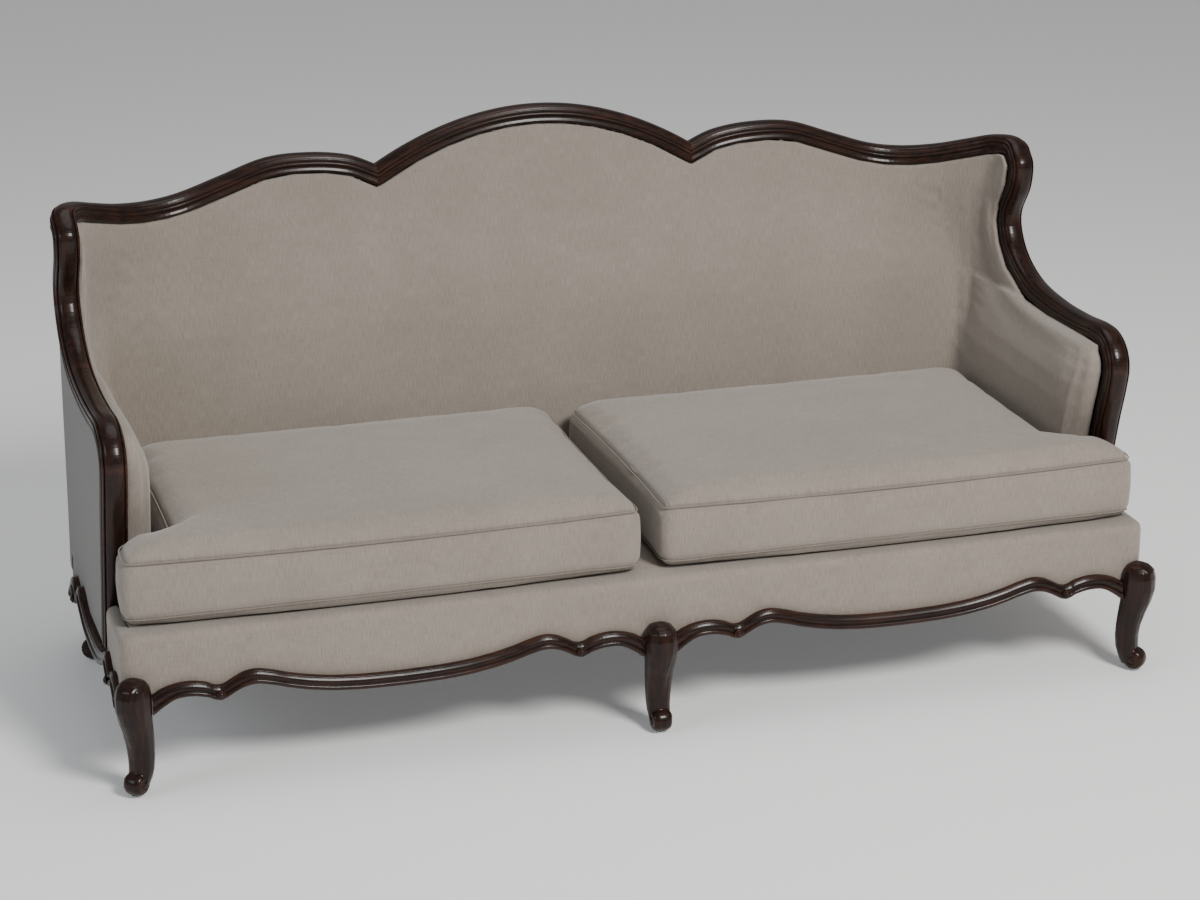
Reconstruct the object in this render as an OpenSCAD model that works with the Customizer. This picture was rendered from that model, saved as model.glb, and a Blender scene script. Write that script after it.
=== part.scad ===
// Cabriole sofa with two wide seat cushions: a moulded show-wood rail runs over
// the back, round the ears and down the arms, above a padded seat on five
// scroll-footed legs.
// The front faces -Y, +X is to the sitter's left, and the floor is at z = 0.

/* [Overall] */
// Distance between the front corner feet, across the sofa
leg_span = 2000; // [1900:10:2100]
// From the middle of the depth forward to the line of the front feet
foot_set = 415; // [406:1:424]
// From the middle of the depth back to the middle of the crest rail
back_set = 425; // [416:1:434]
// Height of the top of the crest rail in the middle
crest_h = 1037; // [1000:1:1080]

/* [Show-wood rail] */
// Width of the rail seen from the front of an arm
rail_w = 50; // [46:1:52]
// Thickness of the rail from its rounded face to its back
rail_t = 38; // [34:1:40]
// From the line of the front corner feet in to the middle of an arm rail
arm_in = 9; // [6:1:16]
// Height of the top of the arm
arm_h = 662; // [640:1:680]
// Height of the ear, where the back meets the arm
ear_h = 942; // [924:1:952]
// Distance from the middle to the notch between two arches of the crest
valley_x = 335; // [300:1:370]
// How far the notch lies below the middle of the crest
valley_drop = 102; // [90:1:115]
// Diameter of the dowels that join the frame
dowel_d = 10; // [8:1:12]
// Length of those dowels
dowel_len = 44; // [36:1:48]

/* [Legs] */
// Height of the top of a knee
knee_h = 226; // [220:1:232]
// Half width of a knee
knee_r = 32; // [28:1:34]
// Half width of the scroll foot
foot_half_w = 18; // [16:0.5:20]
// Radius of the scroll on the foot
scroll_r = 22; // [20:1:24]
// Radius of the eye in the scroll
scroll_eye_r = 8; // [6:1:10]
// How far the eye stands out of the scroll
scroll_eye_out = 2; // [1:0.5:3]
// How far the centre leg stands in front of the line of the corner legs
centre_leg_out = 10; // [0:1:14]
// Thickness of the glide under each foot
glide_t = 3; // [2:0.5:5]
// Diameter of the glide
glide_d = 20; // [16:1:22]
// Diameter of the nail that holds the glide
glide_nail_d = 3; // [2:0.5:4]
// Length of that nail above the glide
glide_nail_len = 16; // [12:1:18]
// From the front feet back to the rear feet
rear_foot_back = 672; // [664:1:680]
// How far each rear foot stands inside the front one
rear_foot_in = 21; // [14:1:26]
// Side of the square block at the top of a leg
post_w = 46; // [42:1:48]

/* [Seat frame] */
// Height of the top of the seat rails
seat_rail_top = 290; // [286:1:292]
// Height of a seat rail
seat_rail_h = 92; // [80:1:94]
// Thickness of a seat rail
seat_rail_t = 30; // [26:1:31]
// From the front feet back to the front of the front rail
front_rail_set = 36; // [34:1:38]
// Thickness of one layer of webbing
web_t = 2; // [1.5:0.5:2.5]
// Width of a webbing strap
web_w = 50; // [40:1:60]
// Number of straps from front to back on each half of the seat
web_count = 6; // [4:1:7]
// Number of straps across the seat
web_cross_count = 6; // [4:1:7]
// Thickness of the padded deck under the cushions
deck_t = 9; // [6:1:10]
// Height of a cross stretcher
stretcher_h = 50; // [40:1:56]
// Thickness of a cross stretcher
stretcher_t = 28; // [24:1:32]
// Diameter of the corner-block screws
screw_d = 5; // [4:0.5:6]
// Length of the corner-block screws under the head
screw_len = 44; // [36:1:48]

/* [Apron] */
// Height of the scalloped moulding
apron_h = 26; // [22:1:30]
// Thickness of the scalloped moulding
apron_t = 18; // [15:1:19]
// Lowest point of the moulding above the floor, away from the legs
apron_low = 155; // [150:1:160]
// How much lower the moulding reaches where it meets a leg
apron_toe = 10; // [4:1:12]
// How high the scallops rise above that point
apron_rise = 37; // [32:1:40]
// Diameter of the small round bosses
boss_d = 14; // [11:1:16]
// Thickness of the padded border behind the front moulding
border_t = 20; // [19:1:20]

/* [Upholstery] */
// Thickness of the inside arm pad
arm_pad_t = 58; // [50:1:60]
// Height at which the inside arm pad turns in to the rail
arm_pad_top = 600; // [590:1:606]
// Thickness of the padding board on the outside
outside_t = 6; // [5:0.5:6]
// Radius of the sofa's rear corners
corner_r = 165; // [150:1:175]
// Running clearance between soft pieces and what they meet
soft_gap = 0.3; // [0.2:0.1:0.5]

/* [Seat cushions] */
// Height of the boxing between its two seams
boxing_h = 125; // [112:1:130]
// How far the top swells above the upper seam
crown_h = 38; // [30:1:42]
// How far the boxing swells past the seams
boxing_out = 9; // [6:1:11]
// How far the front of a cushion bows out between its corners
front_bow = 17; // [10:1:20]
// How far its long sides are drawn in between the corners
side_draw = 5; // [2:1:8]
// Gap between the two cushions at their fullest
cushion_gap = 9; // [6:1:12]
// Thickness of the wrap between the cover and its foam core
wrap_t = 28; // [24:1:34]

/* [Hidden] */

wood = "#3b1f17";
frame_wood = "#b98d5c";
linen = "#9b938a";
outer_linen = "#8b8782";
strap = "#b9a27a";
steel_grey = "#9aa0a5";
foam = "#e4dcc0";
black_cloth = "#2b2a29";

// Overrun of a cutting shape past the face that it cuts
over = 2;
// Glue gap between a dowel or nail and its hole
glue_gap = 0.05;

// Main planes, measured from the middle of the depth
front_y = -foot_set;
crest_y = back_set;
depth = foot_set + back_set;
side_x = leg_span / 2;
arm_x = side_x - arm_in;

// Points of the crest from the notch to the ear: across, back and up.
// Across is a share of the way from the notch to the arm, back a share of
// depth, and up a share of what the crest stands above the ear.
crest_rise = crest_h - ear_h;
valley_z = crest_h - valley_drop;
crest_across_shares = [0.083, 0.205, 0.343, 0.488, 0.610, 0.708, 0.804, 0.890, 0.959, 0.998];
crest_back_shares = [1, 1, 1, 0.998, 0.991, 0.972, 0.938, 0.890, 0.838, 0.776];
crest_up_shares = [0.16, 0.27, 0.22, -0.11, -0.38, -0.46, -0.40, -0.23, -0.06, -0.03];

// Points of the wing, arm and stump: how far back, as a share of depth, and how
// high, as a share of the arm's height up to 1 and of the ear's rise up to 2.
arm_back_shares = [
  0.727, 0.709, 0.720, 0.764, 0.748, 0.697, 0.609, 0.477, 0.346, 0.240,
  0.181, 0.147, 0.137, 0.148, 0.170, 0.187, 0.214, 0.251,
];
arm_up_shares = [
  1.900, 1.798, 1.620, 1.404, 1.246, 1.111, 1.014, 0.990, 0.992, 1.002,
  0.980, 0.936, 0.884, 0.816, 0.725, 0.642, 0.498, 0.310,
];

function rise_z(share) = share <= 1 ? share * arm_h : arm_h + (share - 1) * (ear_h - arm_h);

crest_points = concat(
  [[valley_x, crest_y, valley_z]],
  [for (i = [0:len(crest_across_shares) - 1]) [
    valley_x + crest_across_shares[i] * (arm_x - valley_x),
    front_y + crest_back_shares[i] * depth,
    ear_h + crest_up_shares[i] * crest_rise,
  ]]
);
arm_points = [for (i = [0:len(arm_back_shares) - 1])
  [arm_x, front_y + arm_back_shares[i] * depth, rise_z(arm_up_shares[i])]];
side_points = concat(crest_points, arm_points);

// Places along side_points where one piece of the rail ends and the next starts
ear_u = 10;
elbow_u = 17;
scroll_u = 23;
stump_u = len(side_points) - 1;

// The rail's section: across in half widths, out in thicknesses
rail_across_shares = [0.70, 0.98, 0.88, 1, 0.84, 0.72, 0.40, 0, -0.40, -0.72, -0.84, -1, -0.88, -0.98, -0.70];
rail_out_shares = [-1, -0.80, -0.62, -0.46, -0.32, -0.13, -0.03, 0, -0.03, -0.13, -0.32, -0.46, -0.62, -0.80, -1];

function unit(v) = v / norm(v);

// Point on a smooth curve through pts at place u
function along(pts, u) =
  let (
    last = len(pts) - 1,
    i = min(floor(u), last - 1),
    t = u - i,
    a = pts[max(i - 1, 0)],
    b = pts[i],
    c = pts[i + 1],
    d = pts[min(i + 2, last)]
  )
  0.5 * (2 * b + (c - a) * t + (2 * a - 5 * b + 4 * c - d) * t * t + (3 * b - a - 3 * c + d) * t * t * t);

function heading(pts, u) =
  let (step_share = 0.02, last = len(pts) - 1)
  unit(along(pts, min(u + step_share, last)) - along(pts, max(u - step_share, 0)));

// Level direction across the rail, towards the inside of the sofa
function across_at(u) =
  let (t = heading(side_points, u))
  u > ear_u + 0.5 ? [-1, 0, 0] : unit([t[1], -t[0], 0]);

// Direction out of the rail's rounded face
function out_at(u) =
  let (t = heading(side_points, u))
  u == 0 ? [0, 0, 1 / norm([t[0], t[1]])] : unit(cross(across_at(u), t));

// Point of the side rail at place u: across in half widths, out in thicknesses
function side_point(u, across, out) =
  along(side_points, u) + across_at(u) * across * rail_w / 2 + out_at(u) * out * rail_t;
function side_section(u) =
  [for (k = [0:len(rail_across_shares) - 1]) side_point(u, rail_across_shares[k], rail_out_shares[k])];

// The same for the middle arch, at a share from -1 to 1 of the way to a notch
function arch_point(share, across, out) =
  let (slope = 2 * valley_drop * share / valley_x)
  [share * valley_x, crest_y - across * rail_w / 2, crest_h - valley_drop * share * share]
  + (abs(share) == 1 ? [0, 0, norm([1, slope])] : unit([slope, 0, 1])) * out * rail_t;
function arch_section(share) =
  [for (k = [0:len(rail_across_shares) - 1]) arch_point(share, rail_across_shares[k], rail_out_shares[k])];

// Closed skin over rings of points that all have as many points
module skin(rings) {
  n = len(rings[0]);
  m = len(rings);
  polyhedron(
    points = [for (r = rings) each r],
    faces = concat(
      [[for (k = [0:n - 1]) k]],
      [[for (k = [0:n - 1]) m * n - 1 - k]],
      [for (i = [0:m - 2]) for (k = [0:n - 1])
        let (j = (k + 1) % n)
        [i * n + k, (i + 1) * n + k, i * n + j]],
      [for (i = [0:m - 2]) for (k = [0:n - 1])
        let (j = (k + 1) % n)
        [(i + 1) * n + k, (i + 1) * n + j, i * n + j]]
    ),
    convexity = 6
  );
}

module other_side() {
  mirror([1, 0, 0]) children();
}

// Shape from a cylinder laid along a direction, centred on a point
module rod_at(p, dir, d, len) {
  translate(p)
    rotate([0, acos(dir[2] / norm(dir)), atan2(dir[1], dir[0])])
    cylinder(d = d, h = len, center = true, $fn = 32);
}

// Dowel across the joint at a notch of the crest
dowel_depth_share = 0.58;
module notch_dowels(d, len) {
  rod_at([valley_x, crest_y, valley_z - rail_t * dowel_depth_share], [1, 0, 0], d, len);
}

// Dowel at the joint of two side pieces
module joint_dowel(u, d, len) {
  rod_at(side_point(u, 0, -dowel_depth_share), heading(side_points, u), d, len);
}

module side_rail_piece(from_u, to_u, steps) {
  color(wood)
    skin([for (i = [0:steps]) side_section(from_u + (to_u - from_u) * i / steps)]);
}

module crest_rail_centre() {
  arch_steps = 18;
  color(wood)
    difference() {
      skin([for (i = [0:arch_steps]) arch_section(2 * i / arch_steps - 1)]);
      notch_dowels(dowel_d + 2 * glue_gap, dowel_len + 2 * glue_gap);
      other_side() notch_dowels(dowel_d + 2 * glue_gap, dowel_len + 2 * glue_gap);
    }
}

module crest_side() {
  difference() {
    side_rail_piece(0, ear_u, 22);
    notch_dowels(dowel_d + 2 * glue_gap, dowel_len + 2 * glue_gap);
    joint_dowel(ear_u, dowel_d + 2 * glue_gap, dowel_len + 2 * glue_gap);
  }
}

module wing_side() {
  difference() {
    side_rail_piece(ear_u, elbow_u, 18);
    joint_dowel(ear_u, dowel_d + 2 * glue_gap, dowel_len + 2 * glue_gap);
    joint_dowel(elbow_u, dowel_d + 2 * glue_gap, dowel_len + 2 * glue_gap);
  }
}

module arm_side() {
  difference() {
    side_rail_piece(elbow_u, scroll_u, 14);
    joint_dowel(elbow_u, dowel_d + 2 * glue_gap, dowel_len + 2 * glue_gap);
    joint_dowel(scroll_u, dowel_d + 2 * glue_gap, dowel_len + 2 * glue_gap);
  }
}

module stump_side() {
  difference() {
    side_rail_piece(scroll_u, stump_u, 8);
    joint_dowel(scroll_u, dowel_d + 2 * glue_gap, dowel_len + 2 * glue_gap);
  }
}

module crest_rail_right() { crest_side(); }
module crest_rail_left() { other_side() crest_side(); }
module wing_rail_right() { wing_side(); }
module wing_rail_left() { other_side() wing_side(); }
module arm_rail_right() { arm_side(); }
module arm_rail_left() { other_side() arm_side(); }
module arm_stump_right() { stump_side(); }
module arm_stump_left() { other_side() stump_side(); }

// Legs, in their own frame: out along +X, the knee above the origin
leg_up_shares = [1, 0.98, 0.94, 0.87, 0.76, 0.64, 0.53, 0.42, 0.31, 0.21, 0.12, 0.05];
leg_centre_shares = [-0.24, -0.23, -0.20, -0.17, -0.17, -0.30, -0.50, -0.64, -0.70, -0.66, -0.50, -0.40];
leg_radial_shares = [0.34, 0.66, 0.88, 0.99, 0.99, 0.90, 0.80, 0.74, 0.71, 0.69, 0.64, 0.50];
leg_width_shares = [0.36, 0.68, 0.89, 0.98, 0.98, 0.90, 0.84, 0.79, 0.74, 0.69, 0.63, 0.55];
leg_sides = 14;
squareness = 0.8;
centre_drop = 0.03;
knee_row = 4;
scroll_x = -0.10 * knee_r;
scroll_sink = 1;

function leg_ring(i) = [for (k = [0:leg_sides - 1])
  let (
    a = 360 * k / leg_sides,
    c = cos(a),
    s = sin(a),
    cx = sign(c) * pow(abs(c), squareness),
    sy = sign(s) * pow(abs(s), squareness)
  )
  [
    knee_r * (leg_centre_shares[i] + leg_radial_shares[i] * cx),
    knee_r * leg_width_shares[i] * sy,
    knee_h * leg_up_shares[i],
  ]];

// Neck that joins a knee to its square block
neck_from = -knee_r * 1.94;
neck_half_w = knee_r * 0.36;
neck_low = knee_h * 0.78;
neck_high = knee_h * 0.91;
module leg_neck(gap = 0) {
  translate([neck_from, -neck_half_w - gap, neck_low - gap])
    cube([knee_r * 1.6, 2 * (neck_half_w + gap), neck_high - neck_low + 2 * gap]);
}

module leg_shape(drop = 0) {
  difference() {
    union() {
      leg_neck();
      skin([for (i = [len(leg_up_shares) - 1:-1:0]) [for (p = leg_ring(i)) [p[0], p[1], p[2] * (1 - drop)]]]);
      translate([scroll_x, 0, glide_t + scroll_r - scroll_sink]) {
        rotate([90, 0, 0]) cylinder(r = scroll_r, h = 2 * foot_half_w, center = true, $fn = 48);
        rotate([90, 0, 0])
          cylinder(r = scroll_eye_r, h = 2 * (foot_half_w + scroll_eye_out), center = true, $fn = 32);
      }
    }
    translate([-knee_r * 3, -knee_r * 2, glide_t - knee_r])
      cube([knee_r * 6, knee_r * 4, knee_r]);
    translate([scroll_x, 0, glide_t - over])
      cylinder(d = glide_nail_d + 2 * glue_gap, h = glide_nail_len + over, $fn = 24);
  }
}

// Places and headings of the five legs: x, y, turn, and the way to the block
post_in = 45;
rear_x = side_x - rear_foot_in;
rear_y = front_y + rear_foot_back;
post_depth = seat_rail_t;
post_bottom = seat_rail_top - seat_rail_h;
front_post_x = side_x - post_in;
rear_post_x = rear_x - post_in;
rear_post_y = rear_y - post_in;

module front_post(x) {
  translate([x - post_w / 2, front_y + front_rail_set, post_bottom])
    cube([post_w, post_depth, seat_rail_top - post_bottom]);
}

module corner_leg() {
  color(wood)
    difference() {
      union() {
        translate([side_x, front_y, 0]) rotate([0, 0, -45]) leg_shape();
        front_post(front_post_x);
      }
      rail_dowels(dowel_d + 2 * glue_gap, dowel_len + 2 * glue_gap);
    }
}

module rear_leg() {
  color(wood)
    union() {
      translate([rear_x, rear_y, 0]) rotate([0, 0, 45]) leg_shape();
      translate([rear_post_x - post_w / 2, rear_post_y - post_w / 2, post_bottom])
        cube([post_w, post_w, seat_rail_top - post_bottom]);
    }
}

module front_leg_right() { corner_leg(); }
module front_leg_left() { other_side() corner_leg(); }
module rear_leg_right() { rear_leg(); }
module rear_leg_left() { other_side() rear_leg(); }
module front_leg_centre() {
  color(wood)
    difference() {
      union() {
        translate([0, front_y - centre_leg_out, 0]) rotate([0, 0, -90]) leg_shape(centre_drop);
        front_post(0);
      }
      rail_dowels(dowel_d + 2 * glue_gap, dowel_len + 2 * glue_gap);
      other_side() rail_dowels(dowel_d + 2 * glue_gap, dowel_len + 2 * glue_gap);
    }
}

module glide_shape() {
  translate([scroll_x, 0, 0]) {
    cylinder(d = glide_d, h = glide_t, $fn = 40);
    cylinder(d = glide_nail_d, h = glide_t + glide_nail_len - glue_gap, $fn = 24);
  }
}

module foot_glides() {
  color(steel_grey) {
    for (m = [0, 1]) mirror([m, 0, 0]) {
      translate([side_x, front_y, 0]) rotate([0, 0, -45]) glide_shape();
      translate([rear_x, rear_y, 0]) rotate([0, 0, 45]) glide_shape();
    }
    translate([0, front_y - centre_leg_out, 0]) rotate([0, 0, -90]) glide_shape();
  }
}

// Room that a soft piece or a rail leaves round a knee
knee_gap = 1;
module knee_room(x, y, turn) {
  room_low = apron_low - apron_h;
  centre = [knee_r * leg_centre_shares[knee_row], 0];
  outline = [for (p = leg_ring(knee_row)) let (q = [p[0], p[1]] - centre) centre + q * (1 + knee_gap / norm(q))];
  translate([x, y, 0]) rotate([0, 0, turn]) {
    translate([0, 0, room_low]) linear_extrude(height = knee_h + knee_gap - room_low) polygon(outline);
    leg_neck(knee_gap);
  }
}

module all_knee_rooms() {
  for (m = [0, 1]) mirror([m, 0, 0]) {
    knee_room(side_x, front_y, -45);
    knee_room(rear_x, rear_y, 45);
  }
  knee_room(0, front_y - centre_leg_out, -90);
}

// Lower edge of half an apron: how far along it, and how high in apron_rise
scallop_along_shares = [0, 0.015, 0.035, 0.06, 0.085, 0.11, 0.125, 0.14, 0.16, 0.18, 0.205, 0.235, 0.27, 0.31,
  0.36, 0.42, 0.5, 0.58, 0.64, 0.69, 0.73, 0.765, 0.795, 0.82, 0.84, 0.86, 0.875, 0.89,
  0.915, 0.94, 0.965, 0.985, 1];
scallop_up_shares = [0.24, 0.46, 0.64, 0.74, 0.72, 0.58, 0.40, 0.40, 0.66, 0.90, 1, 0.86, 0.60, 0.36,
  0.16, 0.04, 0, 0.04, 0.16, 0.36, 0.60, 0.86, 1, 0.90, 0.66, 0.40, 0.40, 0.58,
  0.72, 0.74, 0.64, 0.46, 0.24];
boss_along_shares = [0.133, 0.867];
boss_up_share = 0.68;

// Points of a band that follows the scallops, from_up to to_up above them
function scallop_line(from_x, to_x, up) = [for (i = [0:len(scallop_along_shares) - 1]) [
  from_x + (to_x - from_x) * scallop_along_shares[i],
  apron_low + apron_rise * scallop_up_shares[i] + up,
]];
function reversed(pts) = [for (i = [len(pts) - 1:-1:0]) pts[i]];

function clamp01(t) = max(0, min(1, t));
function ease(t) = let (c = clamp01(t)) c * c * (3 - 2 * c);

// The same line, dropped towards the legs at both ends
toe_share = 0.055;
function toe_line(from_x, to_x, up) =
  let (line = scallop_line(from_x, to_x, up))
  [for (i = [0:len(line) - 1])
    let (end = min(scallop_along_shares[i], 1 - scallop_along_shares[i]))
    line[i] - [0, apron_toe * (1 - ease(end / toe_share))]];
function scallop_band(from_x, to_x, up) =
  concat(toe_line(from_x, to_x, 0), reversed(scallop_line(from_x, to_x, up)));

front_apron_from = knee_r * leg_width_shares[knee_row] + knee_gap;
front_apron_to = side_x - knee_r * 1.2;
apron_front_y = front_y - apron_t / 4;
side_apron_from = front_y + knee_r * 1.55;
side_apron_to = rear_y - knee_r * 1.35;

// Turns a flat outline, drawn as across and up, to stand facing -Y
module facing_front(y, t) {
  translate([0, y + t, 0]) rotate([90, 0, 0]) linear_extrude(height = t) children();
}

// Turns a flat outline, drawn as back and up, to stand facing +X
module facing_side(x, t) {
  translate([x, 0, 0]) rotate([90, 0, 90]) linear_extrude(height = t) children();
}

// A raised bead runs along the lower edge of each moulding
bead_share = 0.4;
module front_apron_piece() {
  color(wood)
    difference() {
      union() {
        facing_front(apron_front_y + apron_t * bead_share, apron_t * (1 - bead_share))
          polygon(scallop_band(front_apron_from, front_apron_to, apron_h));
        facing_front(apron_front_y, apron_t)
          polygon(scallop_band(front_apron_from, front_apron_to, apron_h * bead_share));
      }
      all_knee_rooms();
      boss_holes();
    }
}

outside_x = arm_x + rail_w / 2 * rail_across_shares[0] - outside_t;
side_apron_x = outside_x + outside_t;
module side_apron_piece() {
  color(wood)
    difference() {
      union() {
        facing_side(side_apron_x, apron_t * (1 - bead_share))
          polygon(scallop_band(side_apron_from, side_apron_to, apron_h));
        facing_side(side_apron_x, apron_t)
          polygon(scallop_band(side_apron_from, side_apron_to, apron_h * bead_share));
      }
      all_knee_rooms();
      boss_holes();
    }
}

module front_apron_right() { front_apron_piece(); }
module front_apron_left() { other_side() front_apron_piece(); }
module side_apron_right() { side_apron_piece(); }
module side_apron_left() { other_side() side_apron_piece(); }

// Bosses are turned plugs set in blind holes in the mouldings
boss_sink = 6;
boss_z = apron_low + apron_rise * boss_up_share;
module boss_plug(d, extra) {
  dome_r = d * 0.62;
  rotate([90, 0, 0]) {
    translate([0, 0, -boss_sink]) cylinder(d = d, h = boss_sink + over / 2 + extra, $fn = 40);
    if (extra == 0) translate([0, 0, over / 2])
      intersection() {
        translate([0, 0, d * 0.28 - dome_r]) sphere(r = dome_r, $fn = 40);
        cylinder(d = d, h = d, $fn = 40);
      }
  }
}

module boss_places(d, extra) {
  for (m = [0, 1]) mirror([m, 0, 0])
    for (share = boss_along_shares) {
      translate([front_apron_from + (front_apron_to - front_apron_from) * share, apron_front_y, boss_z])
        boss_plug(d, extra);
      translate([side_apron_x + apron_t, side_apron_from + (side_apron_to - side_apron_from) * share, boss_z])
        rotate([0, 0, 90]) boss_plug(d, extra);
    }
}

module boss_holes() {
  boss_places(boss_d + 2 * glue_gap, apron_t);
}

module apron_bosses() {
  color(wood) boss_places(boss_d, 0);
}

// Seat frame
front_rail_y = front_y + front_rail_set;
rail_bottom = seat_rail_top - seat_rail_h;
side_rail_in_x = rear_post_x + post_w / 2;
side_rail_t = outside_x - side_rail_in_x;
stump_in_x = arm_x - rail_w / 2;

// How far forward and back the stump stands at height z
function stump_front_y(z) =
  let (
    last = len(arm_points) - 1,
    i = z > arm_points[last - 1][2] ? (z > arm_points[last - 2][2] ? last - 3 : last - 2) : last - 1,
    a = arm_points[i],
    b = arm_points[i + 1]
  )
  a[1] + (b[1] - a[1]) * (z - a[2]) / (b[2] - a[2]);
lean = (stump_front_y(rail_bottom) - stump_front_y(seat_rail_top)) / seat_rail_h;
stump_deep = rail_t * norm([1, lean]);

module front_rail_piece() {
  from_x = post_w / 2;
  to_x = front_post_x - post_w / 2;
  color(frame_wood)
    difference() {
      translate([from_x, front_rail_y, rail_bottom])
        cube([to_x - from_x, seat_rail_t, seat_rail_h]);
      all_knee_rooms();
      rail_dowels(dowel_d + 2 * glue_gap, dowel_len + 2 * glue_gap);
    }
}

// Dowels from the leg blocks into the front rails
rail_dowel_up_shares = [0.60, 0.85];
module rail_dowels(d, len) {
  for (up = rail_dowel_up_shares)
    for (x = [post_w / 2, front_post_x - post_w / 2])
      rod_at([x, front_rail_y + seat_rail_t / 2, rail_bottom + seat_rail_h * up], [1, 0, 0], d, len);
}

module front_rail_right() { front_rail_piece(); }
module front_rail_left() { other_side() front_rail_piece(); }

border_x = side_x + over * 6;
border_in_x = border_x - border_t - over * 2;
ear_rail_x = border_in_x - soft_gap - seat_rail_t;
ear_rail_top = seat_rail_top + web_t;
module ear_rail_piece() {
  from_y = front_rail_y + post_depth;
  color(frame_wood)
    facing_side(ear_rail_x, seat_rail_t) polygon([
      [from_y, rail_bottom],
      [stump_front_y(rail_bottom), rail_bottom],
      [stump_front_y(ear_rail_top), ear_rail_top],
      [from_y, ear_rail_top],
    ]);
}

module ear_rail_right() { ear_rail_piece(); }
module ear_rail_left() { other_side() ear_rail_piece(); }

// The outside back: its rear face, and where the rear corners begin
back_face_y = crest_y + rail_w / 2 - over;
outside_low = apron_low + apron_rise;
corner_from_y = back_face_y - corner_r;
corner_x = outside_x + outside_t - corner_r;
corner_steps = 8;
function corner_arc_point(i, r) =
  [corner_x + r * cos(90 * i / corner_steps), corner_from_y + r * sin(90 * i / corner_steps)];

side_rail_end_y = corner_from_y - over * 5;
side_rail_top = seat_rail_top + web_t;
module side_rail_shape() {
  color(frame_wood)
    difference() {
      facing_side(side_rail_in_x, side_rail_t) polygon([
        [stump_front_y(rail_bottom) + stump_deep, rail_bottom],
        [side_rail_end_y, rail_bottom],
        [side_rail_end_y, side_rail_top],
        [stump_front_y(side_rail_top) + stump_deep, side_rail_top],
      ]);
      all_knee_rooms();
    }
}

module side_rail_right() { side_rail_shape(); }
module side_rail_left() { other_side() side_rail_shape(); }

// Columns of the outside back: round the corner, along the flat, then the arch
wrap_u = 5.8;
side_cols = 12;
wrap_x = side_point(wrap_u, 0, 0)[0];
arch_cols = 20;
outer_share = -rail_across_shares[0];
outside_share = [outer_share, outer_share + outside_t / (rail_w / 2)];
under = 1 + soft_gap / rail_t;
tucked = 1 + 4 * soft_gap / rail_t;

// Under both the middle and the side piece of the crest at a notch
function notch_point(across) =
  let (a = side_point(0, across, -tucked), b = arch_point(1, across, -tucked)) a[2] < b[2] ? a : b;

// Foot and head of column k on the outer face (0) or the inner face (1)
function outside_foot(k, inner) =
  k <= corner_steps
    ? corner_arc_point(k, corner_r - inner * outside_t)
    : [corner_x / wrap_x * outside_head(k, inner)[0], back_face_y - inner * outside_t];
function outside_head(k, inner) =
  k <= corner_steps ? side_point(ear_u - (ear_u - wrap_u) * k / corner_steps, outside_share[inner], -tucked)
  : k < corner_steps + side_cols ? side_point(wrap_u * (1 - (k - corner_steps) / side_cols), outside_share[inner], -tucked)
  : k == corner_steps + side_cols ? notch_point(outside_share[inner])
  : arch_point(1 - 2 * (k - corner_steps - side_cols) / arch_cols, outside_share[inner], -tucked);
function outside_at(k, inner, z) =
  let (a = outside_foot(k, inner), b = outside_head(k, inner), t = (z - outside_low) / (b[2] - outside_low))
  a + ([b[0], b[1]] - a) * t;

rear_rail_y = back_face_y - outside_t - seat_rail_t - 3 * over;
module rear_rail() {
  color(frame_wood)
    translate([-corner_x, rear_rail_y, rail_bottom])
    cube([2 * corner_x, seat_rail_t, seat_rail_h]);
}

module rear_corner_piece() {
  outer = [for (i = [0:corner_steps]) outside_at(i, 1, seat_rail_top)];
  color(frame_wood)
    difference() {
      translate([0, 0, rail_bottom]) linear_extrude(height = seat_rail_h)
        polygon(concat(
          [[side_rail_in_x, side_rail_end_y]],
          [for (p = outer) if (p[1] > side_rail_end_y) p - unit([p[0] - corner_x, p[1] - corner_from_y]) * over],
          [[corner_x, rear_rail_y + seat_rail_t / 2], [corner_x, rear_rail_y], [corner_x + corner_r / 4, rear_rail_y]]
        ));
      translate([0, rear_rail_y, rail_bottom - over]) cube([corner_x, seat_rail_t * 2, seat_rail_h + 2 * over]);
      all_knee_rooms();
    }
}

module rear_corner_right() { rear_corner_piece(); }
module rear_corner_left() { other_side() rear_corner_piece(); }

// Stretchers run from the front rails and the centre block to the rear rail
stretcher_x_share = 0.36;
stretcher_top = rail_bottom + stretcher_h;
module seat_stretchers() {
  color(frame_wood) {
    for (m = [0, 1]) mirror([m, 0, 0])
      translate([side_x * stretcher_x_share, front_rail_y + seat_rail_t, rail_bottom])
        cube([stretcher_t, rear_rail_y - front_rail_y - seat_rail_t, stretcher_h]);
    translate([-stretcher_t / 2, front_rail_y + post_depth, rail_bottom])
      cube([stretcher_t, rear_rail_y - front_rail_y - post_depth, stretcher_h]);
  }
}

// Triangular blocks brace the four seat corners, each held by two screws
block_side = 62;
block_h = 40;
block_z = seat_rail_top - block_h;
module block_outline() {
  polygon([[0, 0], [-block_side, 0], [0, block_side]]);
}

module front_block_place() {
  translate([ear_rail_x, front_rail_y + post_depth, block_z]) children();
}
module rear_block_place() {
  translate([side_rail_in_x, rear_post_y - post_w / 2, block_z]) mirror([0, 1, 0]) children();
}

// Screws start this far from the block's square corner, and enter the rails
screw_back_share = 0.34;
screw_along_shares = [0.55, 0.42];
module block_screws(d, len, head) {
  for (turn = [0, 1]) {
    back = block_side * screw_back_share;
    place = block_side * screw_along_shares[turn];
    translate(turn == 0 ? [-place, back, block_h * 0.3] : [-back, place, block_h * 0.7])
      rotate(turn == 0 ? [90, 0, 0] : [0, 90, 0]) {
        cylinder(d = d, h = len, $fn = 24);
        translate([0, 0, -head]) cylinder(d = d * 2, h = head, $fn = 24);
      }
  }
}

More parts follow.
